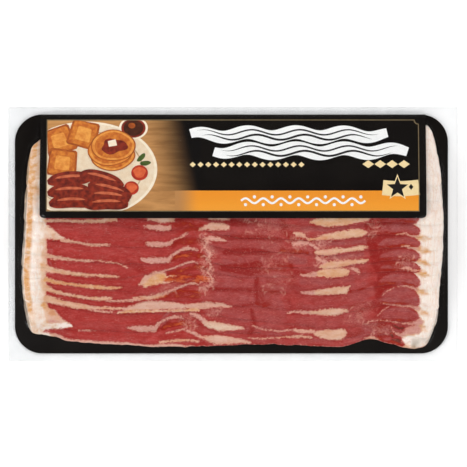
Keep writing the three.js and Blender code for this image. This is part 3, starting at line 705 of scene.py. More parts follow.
def paleAt(x, y, h, band, ragged):  # the mauve, see-through look of lean that lies bare under the film
    middle, ovals, outside = zonesAt(x, h, band)
    pale = 0.6 * middle + 0.9 * ovals * (1 - outside) + 0.5 * smooth(x, 30, 46) * (1 - smooth(x, 80, 88))
    pale += 0.25 * patchy(x * 0.1, y * 0.3, 71) + 0.2 * patchy(x * 0.3, y * 0.8, 72)
    return strokesOver(pale, x, y, mauveStrokes, 0.6 * ragged, -1.4, 0.6)


def tissueOf(i, x, y, h, band):  # in fat, the juice channel carries its painted grey shade, and pale its blush
    ragged = 0.5 * patchy(x * 0.45, y * 1.1, 4) + 0.6 * patchy(x * 1.1, y * 1.3, 9)
    fromLeft = x - leftEdge(y)
    fat, amber, pink = fatAt(i, x, y, h, band, ragged)
    amber = np.maximum(amber, stainAt(x, y, h, fromLeft, ragged))
    # no blush within about 10 mm of the left end, so the fat there takes the white: partly its own white,
    # partly a painted highlight
    pink = pink * smooth(fromLeft, 10.5, 15)
    # painted shade: a shadowed line along the left end, and grey shade over the lobe at the lower right
    edgeShade = (1 - smooth(fromLeft, 0.3, 1.5)) * np.clip(0.85 + 0.5 * patchy(y * 0.2, 0 * y, 40), 0, 1)
    lobeShade = smooth(x, 108, 112) * smooth(-y, 62, 66)
    lobeShade = lobeShade * np.clip(0.5 + 0.2 * patchy(x * 0.2, y * 0.2, 41), 0, 1)
    inFat = smooth(fat, -0.7, -0.1)
    pale = paleAt(x, y, h, band, ragged) * (1 - inFat) + pink * inFat
    juiceAndShade = juiceAndShadeAt(x, y, h, band, fat, ragged) * (1 - inFat) + np.maximum(edgeShade, lobeShade) * inFat
    return fat, np.clip(amber, 0, 1), np.clip(juiceAndShade, 0, 1), np.clip(pale, 0, 1)


def sliceRows():
    rows = list(meat["rowSteps"])
    while rows[-1] < meat["fineTo"]:
        rows.append(rows[-1] + meat["fineStep"])
    while rows[-1] < sliceWidth - meat["coarseStep"]:
        rows.append(rows[-1] + meat["coarseStep"])
    rows.extend((sliceWidth - 1.4, sliceWidth - 0.4, sliceWidth))
    return np.array(rows)


def roundOver(t):
    return np.maximum(1 - (1 - np.clip(t, 0, 1)) ** 2, 0)


def edgeFill(x, h):  # how full a slice is behind its lower edge: it thins out gently, less so in the pillows
    t = np.clip(h / meat["edgeRound"], 0, 1)
    gentle = t * t * (3 - 2 * t)
    pillows = meat["pillowLow"] + (meat["pillowHigh"] - meat["pillowLow"]) * smooth(x, 82, 92)
    return gentle + (roundOver(t) - gentle) * pillows


def sliceOutline(i, share, h):  # where a slice's points lie in the pile, seen from above
    length = pile["right"] - pile["left"]
    fromEnd = np.minimum(share, 1 - share) * length
    cut = meat["cornerCut"]
    corner = cut - np.sqrt(np.maximum(cut ** 2 - np.maximum(cut - fromEnd, 0) ** 2, 0))
    fadeUp = (h / sliceWidth) ** 3
    shiftLow, shiftHigh = (meat["endShift"] * math.sin(2.3 * i + side) for side in (-1, 1))
    x = pile["left"] + length * share
    for _ in range(meat["settles"]):  # the ends lean with the height, and the height with the place along X
        upper = 3.2 * corner + 0.9 * np.maximum(9 - fromEnd, 0) * (x < 0)
        fine = 0.55 * patchy(x * 0.2, 0 * x, i * 3, 3)
        lifted = lowerEdge(i, x) + fine + corner
        s = h + lifted * (1 - smooth(h, 6, sliceWidth - 6)) - upper * fadeUp
        v = i * pile["pitch"] + s
        y = pileY(x, v)
        low = leftEdge(y) + shiftLow + 0.5 * patchy(y * 0.3, 0 * y, i + 2)
        high = rightEdge(y) + shiftHigh + 0.5 * patchy(y * 0.3, 0 * y, i + 5)
        x = low + (high - low) * share
    return x, y, s, v, fromEnd


def makeSlice(i, material):
    rowPlaces = sliceRows()
    columns, rows = meat["columns"], len(rowPlaces) - 1
    shape, across, up = gridSheet(columns, rows)
    h = rowPlaces[np.rint(up * rows).astype(int)]
    # columns crowd together towards both ends, where the slice rounds over
    spread = across - 0.5
    share = 0.5 + 0.5 * np.sin(spread * math.pi) * meat["crowding"] + spread * (1 - meat["crowding"])
    x, y, s, v, fromEnd = sliceOutline(i, share, h)
    full = pile["thickness"] * squeeze(x)
    ownEdge = lowerEdge(i, x)
    nextEdge = lowerEdge(i + 1, x) if i + 1 < sliceCount else meat["bandAbove"] + 0 * x
    band = np.maximum(pile["pitch"] + nextEdge - ownEdge, meat["bandLeast"])
    bandBelow = 99  # nothing lies under the lowest slice
    if i > 0:
        bandBelow = np.maximum(pile["pitch"] + ownEdge - lowerEdge(i - 1, x), meat["bandLeast"])
    endFill = roundOver(fromEnd / meat["endRound"]) ** 0.62 * roundOver((sliceWidth - h) / 1.5)
    fill = edgeFill(x, h) * endFill
    seat = full * (1 - edgeFill(x, h + bandBelow))
    lumps = 0.18 + 0.17 * patchy(x * 0.07, y * 0.14, 50)
    floor = sliceFloor + layer * squeeze(x) * np.minimum(i, pile["rows"] - s / pile["pitch"])
    floor = floor - seat + lumps * smooth(floor, sliceFloor + 1, sliceFloor + 5)
    fat, amber, juiceAndShade, pale = tissueOf(i, x, y, h, band)
    swellUp = meat["fatSwell"] * smooth(fat, -0.4, 0.9) - meat["creaseDepth"] * juiceAndShade
    raised = fill * (swellUp + 0.1 * patchy(x * 0.16, y * 0.8, i + 20)) * (1 - smooth(h, band - 1, band + 2))
    top = floor + full * fill + raised
    placeSheet(shape, x, y, top + levelling(x, v, top))
    addUnderside(shape, x, y, floor + levelling(x, v, floor))
    tissue = shape.verts.layers.float_color.new("tissue")
    strands = shape.verts.layers.float_vector.new("strands")
    threads, loops = strandsAt(x, y)
    for n, vert in enumerate(shape.verts):
        k = n % len(x)
        vert[tissue] = (fat[k], amber[k], juiceAndShade[k], pale[k])
        vert[strands] = (threads[k], loops[k], 0)
    bmesh.ops.remove_doubles(shape, verts=shape.verts, dist=meat["weld"] * mm)
    return finishPiece(shape, f"bacon_slice_{i + 1:02d}", material, (f"slice_{i + 1:02d}",))


# Tissue colours. The juice colour is partly painted shade in the creases, and the grey fat colour is painted
# shade in the fat. White is partly a painted highlight at the left end.
meatColors = {
    "crimson": ((172, 50, 46), (190, 70, 65)), "mauve": ((156, 70, 69), (182, 99, 96)),
    "dull red": (164, 48, 42), "deep red": (150, 32, 28), "light red": (206, 104, 98),
    "juiceAndShade": (150, 26, 20), "brown spot": (104, 54, 44), "fleck": (218, 132, 122),
    "orange": ((156, 34, 22), (199, 87, 43)),
    "cream": ((238, 208, 184), (226, 186, 160)), "rosy cream": (212, 154, 126), "white": (255, 248, 242),
    "layer": (236, 200, 170), "tan": ((214, 147, 84), (230, 178, 114)),
    "blush": ((202, 134, 120), (222, 170, 160)), "cloud": (198, 128, 98), "thin fat": (216, 138, 118),
    "painted fat shade": (126, 108, 84), "thread": (226, 164, 146),
}


def baconMaterial():
    material, tree, shader = newMaterial("raw bacon", specular=0.3)
    tissue = readAttribute(tree, "tissue")
    parts = tree.nodes.new("ShaderNodeSeparateColor")
    link(tree, tissue.outputs["Color"], parts.inputs["Color"])
    fatDepth, amber, juiceAndShade = (parts.outputs[n] for n in range(3))
    pale = tissue.outputs["Alpha"]
    plain = placeIn(tree)
    along = placeIn(tree, (0.28, 1.0, 1.0))
    fibres = noiseField(tree, along, 1.7, 4, 0.65, 0.6)
    mottle = noiseField(tree, plain, 0.16, 3, 0.55)
    grain = noiseField(tree, plain, 1.1, 3, 0.6)
    flecks = noiseField(tree, placeIn(tree, (0.55, 1.0, 1.0)), 1.9, 2, 0.5)
    patches = noiseField(tree, placeIn(tree, (0.5, 1.0, 1.0)), 0.34, 3, 0.6, 0.4)
    uneven = plus(tree, fromMiddle(tree, patches, 3.2), fromMiddle(tree, grain, 0.7))
    stained = times(tree, amber, plus(tree, uneven, 1.0))
    # a ragged outline, and thin veins of fat inside the lean
    edge = plus(tree, fromMiddle(tree, grain, 3.0), fromMiddle(tree, fibres, 1.5))
    fatMask = ramp(tree, plus(tree, fatDepth, edge), -0.4, 0.45)
    veinField = noiseField(tree, placeIn(tree, (0.07, 0.62, 0.62)), 0.85, 2, 0.5, 0.8)
    veins = threadLines(tree, veinField, 0.012, 0.0, (0.0, 0.3))
    veins = times(tree, veins, ramp(tree, mottle, 0.46, 0.62))
    # lean
    crimson = between(tree, fibres, 0.3, 0.7, meatColors["crimson"])
    mauve = between(tree, fibres, 0.3, 0.72, meatColors["mauve"])
    lean = mixColor(tree, pale, crimson, mauve)
    lean = tinted(tree, lean, mottle, 0.36, 0.68, 0.4, meatColors["dull red"])
    lean = tinted(tree, lean, patches, 0.5, 0.68, 0.32, meatColors["deep red"])
    lean = tinted(tree, lean, patches, 0.48, 0.3, 0.26, meatColors["light red"])
    # the dark red of meat juice, which also paints the shade in the creases and beside the ovals
    lean = mixColor(tree, juiceAndShade, lean, color(*meatColors["juiceAndShade"]))
    lean = tinted(tree, lean, juiceAndShade, 0.84, 1.0, 0.8, meatColors["brown spot"])
    bloom = plus(tree, times(tree, pale, 0.35), 0.32)
    speck = times(tree, ramp(tree, flecks, 0.58, 0.74), bloom)
    lean = mixColor(tree, speck, lean, color(*meatColors["fleck"]))
    orange = between(tree, stained, 0.5, 1.05, meatColors["orange"])
    lean = mixColor(tree, ramp(tree, stained, 0.05, 0.6), lean, orange)
    # fat
    cream = between(tree, mottle, 0.38, 0.66, meatColors["cream"])
    cream = tinted(tree, cream, grain, 0.5, 0.8, 0.4, meatColors["rosy cream"])
    # white where the fat has no blush: the fat's own white at both ends, and at the left end also a painted
    # highlight
    cream = tinted(tree, cream, pale, 0.1, 0.0, 0.7, meatColors["white"])
    layers = noiseField(tree, placeIn(tree, (1.0, 0.12, 1.0)), 0.8, 3, 0.6, 0.3)
    atEnds = ramp(tree, calc(tree, "ABSOLUTE", split(tree, plain)[0]), 112, 117)
    layered = times(tree, atEnds, ramp(tree, layers, 0.45, 0.65, (0.0, 0.42)))
    cream = mixColor(tree, layered, cream, color(*meatColors["layer"]))
    tan = between(tree, grain, 0.3, 0.7, meatColors["tan"])
    blush = between(tree, grain, 0.3, 0.7, meatColors["blush"])
    fat = mixColor(tree, calc(tree, "MULTIPLY", stained, 0.9, clamp=True), cream, tan)
    fat = mixColor(tree, pale, fat, blush)
    clouds = plus(tree, fromMiddle(tree, patches), fromMiddle(tree, grain))
    inland = calc(tree, "SUBTRACT", 1.0, times(tree, atEnds, 0.6))
    cloudy = times(tree, ramp(tree, clouds, 0.02, 0.3, (0.0, 0.5)), inland)
    fat = mixColor(tree, cloudy, fat, color(*meatColors["cloud"]))
    fat = tinted(tree, fat, fatDepth, 1.3, 0.0, 0.45, meatColors["thin fat"])
    # painted grey shade in the fat
    fat = tinted(tree, fat, juiceAndShade, 0.25, 0.9, 0.75, meatColors["painted fat shade"])
    # fine threads and curls across both
    crossing = split(tree, readAttribute(tree, "strands").outputs["Vector"])
    curled = noiseField(tree, plain, 0.4, 2, 0.6, 1.8)
    threads = times(tree, times(tree, threadLines(tree, curled, 0.07, 0.02), crossing[0]), 0.62)
    threads = larger(tree, threads, times(tree, crossing[1], 0.9))
    surface = mixColor(tree, larger(tree, fatMask, veins), lean, fat)
    link(tree, mixColor(tree, threads, surface, color(*meatColors["thread"])), shader.inputs["Base Color"])
    dryness = plus(tree, fatMask, times(tree, grain, 0.5))
    link(tree, ramp(tree, dryness, 0.0, 1.5, (0.3, 0.46)), shader.inputs["Roughness"])
    relief(tree, shader, along, 1.7, 0.06)
    shader.inputs["Subsurface Weight"].default_value = 0.08
    shader.inputs["Subsurface Radius"].default_value = (1.0, 0.35, 0.25)
    shader.inputs["Subsurface Scale"].default_value = 1.6 * mm
    return material


# Card: the board behind the slices and the flap over their top
cardLook = {
    "black": ((15, 11, 9), (19, 15, 12)), "speck": (34, 30, 27), "roughness": (0.42, 0.55),
    "columns": 170, "flapSteps": 72, "flapRest": 0.5, "edgeBevel": 0.12,
}


def cardMaterial():
    material, tree, shader = newMaterial("black coated card", specular=0.15)
    plain = placeIn(tree)
    grainMask = relief(tree, shader, plain, 0.9, 0.03)
    black = between(tree, noiseField(tree, plain, 0.05, 2), 0.35, 0.65, cardLook["black"])
    black = tinted(tree, black, grainMask, 0.6, 0.85, 0.25, cardLook["speck"])
    link(tree, black, shader.inputs["Base Color"])
    link(tree, ramp(tree, grainMask, 0.3, 0.7, cardLook["roughness"]), shader.inputs["Roughness"])
    return material


def catmull(points, steps):  # a smooth line through the given points
    points = [np.array(p, float) for p in points]
    found = []
    for n in range(steps + 1):
        at = n / steps * (len(points) - 1)
        k = min(int(at), len(points) - 2)
        t = at - k
        p0, p1 = points[max(k - 1, 0)], points[k]
        p2, p3 = points[k + 1], points[min(k + 2, len(points) - 1)]
        m1, m2 = (p2 - p0) / 2, (p3 - p1) / 2
        found.append(
            (2 * t ** 3 - 3 * t ** 2 + 1) * p1 + (t ** 3 - 2 * t ** 2 + t) * m1
            + (3 * t ** 2 - 2 * t ** 3) * p2 + (t ** 3 - t ** 2) * m2
        )
    return np.array(found)


def flapLoop():  # the flap's closed section in the Y-Z plane, as the solid has it
    crest = sliceFloor + layer * pile["rows"] + pile["thickness"] + cardLook["flapRest"]
    lastY = pile["bottom"] + (sliceCount - 1) * pile["pitch"]
    slopeEnd = sliceFloor + pile["thickness"] + cardLook["flapRest"]
    radius = pack["foldRadius"]
    inner = catmull((
        (flapFreeY, crest), (flapFreeY + 8, crest + 0.2), (lastY - 3, crest + 0.3),
        (lastY + 5, crest - 0.9), (lastY + sliceWidth / 2, (crest + slopeEnd) / 2 + 0.7),
        (lastY + sliceWidth - 4, slopeEnd + 1.9), (foldY - radius - 0.7, boardTop + 1.7 * radius),
    ), cardLook["flapSteps"])
    along = np.gradient(inner, axis=0)
    along /= np.linalg.norm(along, axis=1)[:, None]
    thick = pack["cardThickness"]
    outer = inner + thick * np.column_stack((-along[:, 1], along[:, 0]))
    inside = radius - thick / 2
    centre = np.array((foldY - radius - 0.35, boardTop + inside))
    turns = np.linspace(math.pi / 4, -math.pi / 2, 9)
    innerArc = centre + inside * np.column_stack((np.cos(turns), np.sin(turns)))
    turns = np.linspace(-math.pi / 2, 0.3 * math.pi, 12)
    outerArc = centre + (inside + thick) * np.column_stack((np.cos(turns), np.sin(turns)))
    edge = inner[0] * 0.5 + outer[0] * 0.5 - (0.12, 0)
    return np.vstack((inner, innerArc, outerArc, outer[::-1], [edge], [inner[0]]))


def makeCard(material):
    loop = flapLoop()
    rows = len(loop) - 1
    shape, across, up = gridSheet(cardLook["columns"], rows)
    y, height = loop[np.rint(up * rows).astype(int)].T
    half = pack["flapWidth"] / 2
    corner = pack["flapCorner"]
    near = np.clip(corner - (y - flapFreeY), 0, corner)
    width = half - (corner - np.sqrt(np.maximum(corner ** 2 - near ** 2, 0)))
    x = (2 * across - 1) * width
    z = np.minimum(height, sliceFloor) + np.maximum(height - sliceFloor, 0) * squeeze(x)
    placeSheet(shape, x, y, z)
    bmesh.ops.remove_doubles(shape, verts=shape.verts, dist=0.01 * mm)
    rims = [edge for edge in shape.edges if edge.is_boundary]
    bmesh.ops.holes_fill(shape, edges=rims, sides=0)
    bmesh.ops.recalc_face_normals(shape, faces=shape.faces)
    board = roundedPlate(pack["boardWidth"], pack["boardHeight"], pack["boardCorner"], boardBottom, boardTop)
    bmesh.ops.translate(board, vec=(pack["boardX"] * mm, 0, 0), verts=board.verts)
    boardMesh = bpy.data.meshes.new("board outline")
    board.to_mesh(boardMesh)
    board.free()
    shape.from_mesh(boardMesh)
    bpy.data.meshes.remove(boardMesh)
    return finishPiece(shape, "folded_black_card", material, ("folded_card",), sharpAngle=40)


def roundedPlate(width, height, corner, low, high):
    plate = bmesh.new()
    bmesh.ops.create_grid(plate, x_segments=1, y_segments=1, size=0.5)
    bmesh.ops.scale(plate, vec=(width * mm, height * mm, 1), verts=plate.verts)
    bmesh.ops.bevel(plate, geom=plate.verts[:], offset=corner * mm, offset_type="OFFSET", affect="VERTICES",
                    segments=20, profile=0.5, material=-1)
    bmesh.ops.translate(plate, vec=(0, 0, low * mm), verts=plate.verts)
    grown = bmesh.ops.extrude_face_region(plate, geom=plate.faces[:])
    top = [part for part in grown["geom"] if isinstance(part, bmesh.types.BMVert)]
    bmesh.ops.translate(plate, vec=(0, 0, (high - low) * mm), verts=top)
    bmesh.ops.recalc_face_normals(plate, faces=plate.faces)
    rims = [edge for edge in plate.edges if abs(edge.calc_face_angle(0)) > 1]
    bmesh.ops.bevel(plate, geom=rims, offset=cardLook["edgeBevel"] * mm, offset_type="OFFSET",
                    affect="EDGES", segments=2, profile=0.5, material=-1)
    return plate


# Print on the flap: flat fields of ink that lie on the card, each at its own level
printed = {
    "left": -116, "right": 115.7, "top": 71.3, "bottom": 13.9, "line": 0.55, "notch": 2.6,
    "tableRight": -20, "bandLeft": -36, "bandTop": 26.9, "pictureInset": 0.6,
    "stepX": 2.0, "stepY": 1.0, "rest": 0.05, "lift": 0.02, "reliefDepth": 0.012,
    "inkRoughness": (0.35, 0.45), "tableRoughness": 0.48, "bandRoughness": 0.4,
    "wood": ((172, 122, 72), (206, 152, 94)), "woodFade": (16, 13, 12),
    "orange": ((240, 152, 34), (245, 164, 50)), "orangeFade": (190, 136, 80),
}
inkTones = {
    "cream": ((246, 224, 174), (240, 216, 164)), "white": ((250, 250, 248), (244, 244, 243)),
    "black": ((27, 25, 26), (30, 27, 27)), "tan": ((122, 106, 78), (104, 90, 64)),
    "plate": ((240, 222, 196), (232, 208, 176)), "plate rim": ((250, 238, 216), (244, 226, 198)),
    "plate shade": ((206, 176, 142), (190, 156, 120)), "crust": ((150, 68, 22), (190, 98, 30)),
    "toast": ((222, 138, 50), (186, 88, 28)), "toast light": ((240, 170, 78), (218, 130, 50)),
    "tomato": ((196, 58, 30), (160, 36, 22)), "tomato light": ((226, 110, 62), (208, 84, 46)),
    "sausage": ((156, 50, 26), (94, 26, 18)), "sausage light": ((216, 118, 78), (184, 84, 54)),
    "coffee": ((58, 26, 14), (84, 40, 20)), "leaf": ((84, 104, 42), (58, 78, 32)),
}


def inkMaterial(name, tones):
    material, tree, shader = newMaterial(name, specular=0.35)
    plain = placeIn(tree)
    mask = relief(tree, shader, plain, 2.2, printed["reliefDepth"])
    tone = between(tree, noiseField(tree, plain, 0.35, 3), 0.25, 0.75, tones)
    link(tree, tone, shader.inputs["Base Color"])
    link(tree, ramp(tree, mask, 0.3, 0.7, printed["inkRoughness"]), shader.inputs["Roughness"])
    return material


def pictureMaterial():  # a wooden table that fades into the black to its right
    material, tree, shader = newMaterial("printed table", specular=0.15)
    plain = placeIn(tree)
    relief(tree, shader, plain, 2.2, printed["reliefDepth"])
    boards = noiseField(tree, placeIn(tree, (0.05, 0.25, 1), 0.35), 1.0, 3, 0.5, 0.3)
    wood = between(tree, boards, 0.25, 0.75, printed["wood"])
    across, up, _ = split(tree, plain)
    aslant = plus(tree, across, times(tree, up, 0.22))
    fade = larger(tree, ramp(tree, aslant, -14, -44), ramp(tree, up, 27.3, 26.6))
    link(tree, mixColor(tree, fade, color(*printed["woodFade"]), wood), shader.inputs["Base Color"])
    shader.inputs["Roughness"].default_value = printed["tableRoughness"]
    return material


def bandMaterial():  # orange, fading into the table's wood to its left
    material, tree, shader = newMaterial("printed orange band", specular=0.35)
    plain = placeIn(tree)
    relief(tree, shader, plain, 2.2, printed["reliefDepth"])
    across, up, _ = split(tree, plain)
    orange = between(tree, up, 26, 14, printed["orange"])
    fade = ramp(tree, across, -35, -20)
    link(tree, mixColor(tree, fade, color(*printed["orangeFade"]), orange), shader.inputs["Base Color"])
    shader.inputs["Roughness"].default_value = printed["bandRoughness"]
    return material


def flapSurface(card):
    depsgraph = bpy.context.evaluated_depsgraph_get()
    return BVHTree.FromObject(card, depsgraph)


def layOnFlap(shape, tree, level):  # cut it fine enough to follow the card, and let it down
    xs = [v.co.x / mm for v in shape.verts]
    ys = [v.co.y / mm for v in shape.verts]
    cuts = (
        ((1, 0, 0), min(xs), max(xs), printed["stepX"]),
        ((0, 1, 0), min(ys), max(ys), printed["stepY"]),
    )
    for axis, low, high, pace in cuts:
        for place in np.arange(math.ceil(low / pace) * pace, high, pace):
            bmesh.ops.bisect_plane(shape, geom=shape.verts[:] + shape.edges[:] + shape.faces[:],
                                   plane_co=Vector(axis) * float(place) * mm, plane_no=axis, dist=1e-7)
    for v in shape.verts:
        hit = tree.ray_cast(Vector((v.co.x, v.co.y, 0.1)), Vector((0, 0, -1)))[0]
        v.co.z = (hit.z if hit else 0) + (printed["rest"] + level * printed["lift"]) * mm


def layInk(shape, tree, name, material, level):  # a field of ink, let down on the card face up
    layOnFlap(shape, tree, level)
    bmesh.ops.recalc_face_normals(shape, faces=shape.faces)
    if sum(face.normal.z for face in shape.faces) < 0:
        bmesh.ops.reverse_faces(shape, faces=shape.faces)
    return finishPiece(shape, name, material)


def inkPatch(tree, name, outline, material, level):
    shape = bmesh.new()
    shape.faces.new([shape.verts.new((x * mm, y * mm, 0)) for x, y in outline])
    return layInk(shape, tree, name, material, level)


def oval(cx, cy, rx, ry, count=40, turn=0.0, uneven=0.0, seed=0):
    points = []
    c, s = math.cos(turn), math.sin(turn)
    for n in range(count):
        a = 2 * math.pi * n / count
        r = 1 + uneven * (math.sin(3 * a + seed) + 0.6 * math.sin(5 * a + 2.1 * seed)) / 1.6
        px, py = rx * r * math.cos(a), ry * r * math.sin(a)
        points.append((cx + px * c - py * s, cy + px * s + py * c))
    return points


def band(points, half, taper=0.0):  # a strip of even width along a line of points
    points = np.array(points, float)
    along = np.gradient(points, axis=0)
    along /= np.linalg.norm(along, axis=1)[:, None]
    side = np.column_stack((-along[:, 1], along[:, 0]))
    t = np.linspace(0, 1, len(points))[:, None]
    width = half * (1 - taper * np.abs(2 * t - 1) ** 4)
    return [tuple(p) for p in np.vstack((points + side * width, (points - side * width)[::-1]))]


def wave(x0, x1, y, height, length, phase=0.0, count=60):
    xs = np.linspace(x0, x1, count)
    return np.column_stack((xs, y + height * np.sin(2 * math.pi * (xs - x0) / length + phase)))


# Places on the flap: middle, then half sizes or a turn
breakfast = {
    "plate": (-91, 40, 44, 30),
    "rings": ((1.0, "plate rim"), (0.96, "plate"), (0.8, "plate shade"), (0.78, "plate")),
    "cup": ((-62, 66, 9, "plate rim"), (-62, 66, 7.6, "sausage"), (-62, 66, 6.2, "coffee"),
            (-63, 67.5, 2.2, "crust")),
    "toasts": ((-108, 58, 0.35), (-93, 62, -0.25), (-106, 44, -0.1)),
    "toastRings": ((1.0, "crust"), (0.86, "toast"), (0.5, "toast light")),
    "toastCorners": ((-9.5, -8), (9.5, -8.5), (8.5, 8.5), (-8.5, 9)),
    "pancakes": ((-75, 49), (-76.5, 52), (-74.5, 55)),
    "pancakeRings": ((14, "crust"), (13.2, "toast light"), (11.6, "toast")),
    "syrup": (-74, 54.5, 8, 4.6), "butter": (-75, 56.5),
    "butterCorners": ((-2.6, -1.8), (2.6, -2), (2.4, 2), (-2.6, 1.8)),
    "sausages": ((-115, 32, 0.08), (-115, 25, 0.04), (-114, 18.5, 0.03), (-95, 37, -0.28),
                 (-90, 30, -0.26), (-91, 23.5, -0.08), (-92, 17.5, 0.02)),
    "sausageLength": 27, "sausageHalf": 4.2,
    "tomatoes": ((-58, 38, 5.2), (-63, 28.5, 4.6)),
    "leaves": ((-57, 47.5, 0.8), (-54.5, 44, 0.1)),
}


def layPlate(add):  # a plate of toast and pancakes, with a cup beside it; each ring lies a level higher
    cx, cy, rx, ry = breakfast["plate"]
    for n, (grow, ink) in enumerate(breakfast["rings"]):
        add(f"print_plate_{n + 1}", clipped(oval(cx, cy, rx * grow, ry * grow, 72)), ink, n + 1)
    for n, (cx, cy, size, ink) in enumerate(breakfast["cup"]):
        add(f"print_cup_{n + 1}", clipped(oval(cx, cy, size, size * 0.8, 32)), ink, 5 + n)
    for n, (cx, cy, turn) in enumerate(breakfast["toasts"]):
        for k, (grow, ink) in enumerate(breakfast["toastRings"]):
            slab = clipped(softSquare(breakfast["toastCorners"], cx, cy, turn, grow))
            add(f"print_toast_{n + 1}_{k + 1}", slab, ink, 6 + 3 * n + k)
    for n, (cx, cy) in enumerate(breakfast["pancakes"]):
        for k, (size, ink) in enumerate(breakfast["pancakeRings"]):
            cake = oval(cx, cy, size, size * 0.7, 44, 0, 0.03, n + 1)
            add(f"print_pancake_{n + 1}_{k + 1}", cake, ink, 16 + 3 * n + k)
    add("print_syrup", oval(*breakfast["syrup"], 36, 0.1, 0.2, 2), "sausage", 25)
    butter = softSquare(breakfast["butterCorners"], *breakfast["butter"], 0.2, 1)
    add("print_butter", butter, "plate rim", 26)


def laySausages(add):
    length = breakfast["sausageLength"]
    xs = np.linspace(0, length, 24)
    for n, (x0, y0, slope) in enumerate(breakfast["sausages"]):
        line = np.column_stack((x0 + xs, y0 + 1.6 * np.sin(xs / length * math.pi) + slope * xs))
        link = clipped(band(line, breakfast["sausageHalf"], 0.7))
        add(f"print_sausage_{n + 1}", link, "sausage", 27 + 2 * n)
        shine = band(line[4:-4] + (0, 1.3), 0.85, 0.9)
        add(f"print_sausage_light_{n + 1}", shine, "sausage light", 28 + 2 * n)


def layGreens(add):  # tomato halves and leaves
    for n, (cx, cy, size) in enumerate(breakfast["tomatoes"]):
        add(f"print_tomato_{n + 1}", oval(cx, cy, size, size * 0.92, 30), "tomato", 11)
        cut = oval(cx, cy + 0.3, size * 0.72, size * 0.64, 30, 0, 0.12, n)
        add(f"print_tomato_cut_{n + 1}", cut, "tomato light", 12)
    for n, (cx, cy, turn) in enumerate(breakfast["leaves"]):
        add(f"print_leaf_{n + 1}", oval(cx, cy, 3.4, 1.5, 22, turn, 0.06, n), "leaf", 7)


emblem = {
    "strips": ((-26.5, 96, 61.8, 0.4), (-12, 108.5, 51.7, 3.44)),  # from, to, height, phase
    "stripHalf": 4.3, "waveHeight": 1.6, "waveLength": 30,
    "stripes": ((1.5, 0.5), (-1.6, 0.65)),  # height over the middle, half width
    "diamonds": 15, "diamondFrom": -25, "diamondStep": 4.82,
    "lozenges": 4, "lozengeFrom": 84, "lozengeStep": 7.4,
    "curlFrom": 5, "curlTo": 82, "dots": 7, "dotStep": 11,
    "star": (102, 28.6), "starSize": 6.9, "starEdge": 8.6,
}


def layEmblem(add):  # two long wavy white strips with dark stripes, over rows of cream ornament
    height, length = emblem["waveHeight"], emblem["waveLength"]
    for n, (x0, x1, y, phase) in enumerate(emblem["strips"]):
        strip = band(wave(x0, x1, y, height, length, phase, 100), emblem["stripHalf"], 0.35)
        add(f"print_strip_{n + 1}", strip, "white", 2)
        for k, (off, width) in enumerate(emblem["stripes"]):
            line = wave(x0 + 4 + 3 * k, x1 - 5 - 4 * k, y + off, height, length, phase + 0.3, 90)
            add(f"print_strip_{n + 1}_stripe_{k + 1}", band(line, width, 1.0), "black", 3)
    for n in range(emblem["diamonds"]):
        cx = emblem["diamondFrom"] + n * emblem["diamondStep"]
        add(f"print_diamond_{n + 1}", diamond(cx, 43.1, 1.9, 1.7), "cream", 2)
    for n in range(emblem["lozenges"]):
        cx = emblem["lozengeFrom"] + n * emblem["lozengeStep"]
        add(f"print_lozenge_{n + 1}", diamond(cx, 43.4, 3.6, 2.5), "cream", 2)


def layBand(add):  # the orange band with a wave between dots
    left, right, bottom, top = (printed[k] for k in ("bandLeft", "right", "bottom", "bandTop"))
    add("print_band", [(left, bottom), (right, bottom), (right, top), (left, top)], bandMaterial(), 2)
    start, step = emblem["curlFrom"], emblem["dotStep"]
    add("print_band_wave", band(wave(start, emblem["curlTo"], 20.6, 1.5, step, 0, 130), 0.65), "white", 3)
    for n in range(emblem["dots"]):
        high, low = start + 0.75 * step + n * step, start + 0.25 * step + n * step
        add(f"print_band_dot_{n + 1}", oval(high, 23, 1.0, 1.0, 16), "white", 3)
        add(f"print_band_dot_low_{n + 1}", oval(low, 18.2, 1.0, 1.0, 16), "white", 3)


def layFlag(add):  # a small flag with a star
    add("print_flag", band(wave(92.8, 115.4, 28.9, 0.8, 46, 3.3, 24), 4.7), "cream", 4)
    add("print_star_edge", star(*emblem["star"], emblem["starEdge"]), "cream", 5)
    add("print_star", star(*emblem["star"], emblem["starSize"]), "black", 6)
    add("print_flag_dot_1", diamond(110.4, 29.2, 1.4, 1.9), "black", 6)


def makePrint(card):
    tree = flapSurface(card)
    left, right, top, bottom = (printed[k] for k in ("left", "right", "top", "bottom"))
    inks = {name: inkMaterial(f"ink {name}", tones) for name, tones in inkTones.items()}
    rows = []

    def add(name, outline, ink, level):
        material = inks[ink] if isinstance(ink, str) else ink
        rows.append(inkPatch(tree, name, outline, material, level))

    table = printed["tableRight"]
    add("print_table", [(left, bottom), (table, bottom), (table, top), (left, top)], pictureMaterial(), 0)
    for lay in (layPlate, laySausages, layGreens, layEmblem, layBand, layFlag):
        lay(add)
    line, notch = printed["line"], printed["notch"]
    outer = keyline(left, right, bottom, top, notch)
    inner = keyline(left + line, right - line, bottom + line, top - line, notch)
    rows.append(ringPatch(tree, "print_keyline", outer, inner, inks["tan"], 7))
    return rows


def clipped(outline):  # kept inside the picture
    inset = printed["pictureInset"]
    left, bottom, top = printed["left"] + inset, printed["bottom"] + inset, printed["top"] - inset
    return [(max(x, left), min(max(y, bottom), top)) for x, y in outline]


def softSquare(corners, cx, cy, turn, size):
    points = []
    for k, (x, y) in enumerate(corners):
        before, after = corners[k - 1], corners[(k + 1) % 4]
        for t in (0.18, 0.06):
            points.append((x + (before[0] - x) * t, y + (before[1] - y) * t))
        for t in (0.06, 0.18):
            points.append((x + (after[0] - x) * t, y + (after[1] - y) * t))
    c, s = math.cos(turn), math.sin(turn)
    return [(cx + size * (x * c - y * s), cy + size * (x * s + y * c)) for x, y in points]


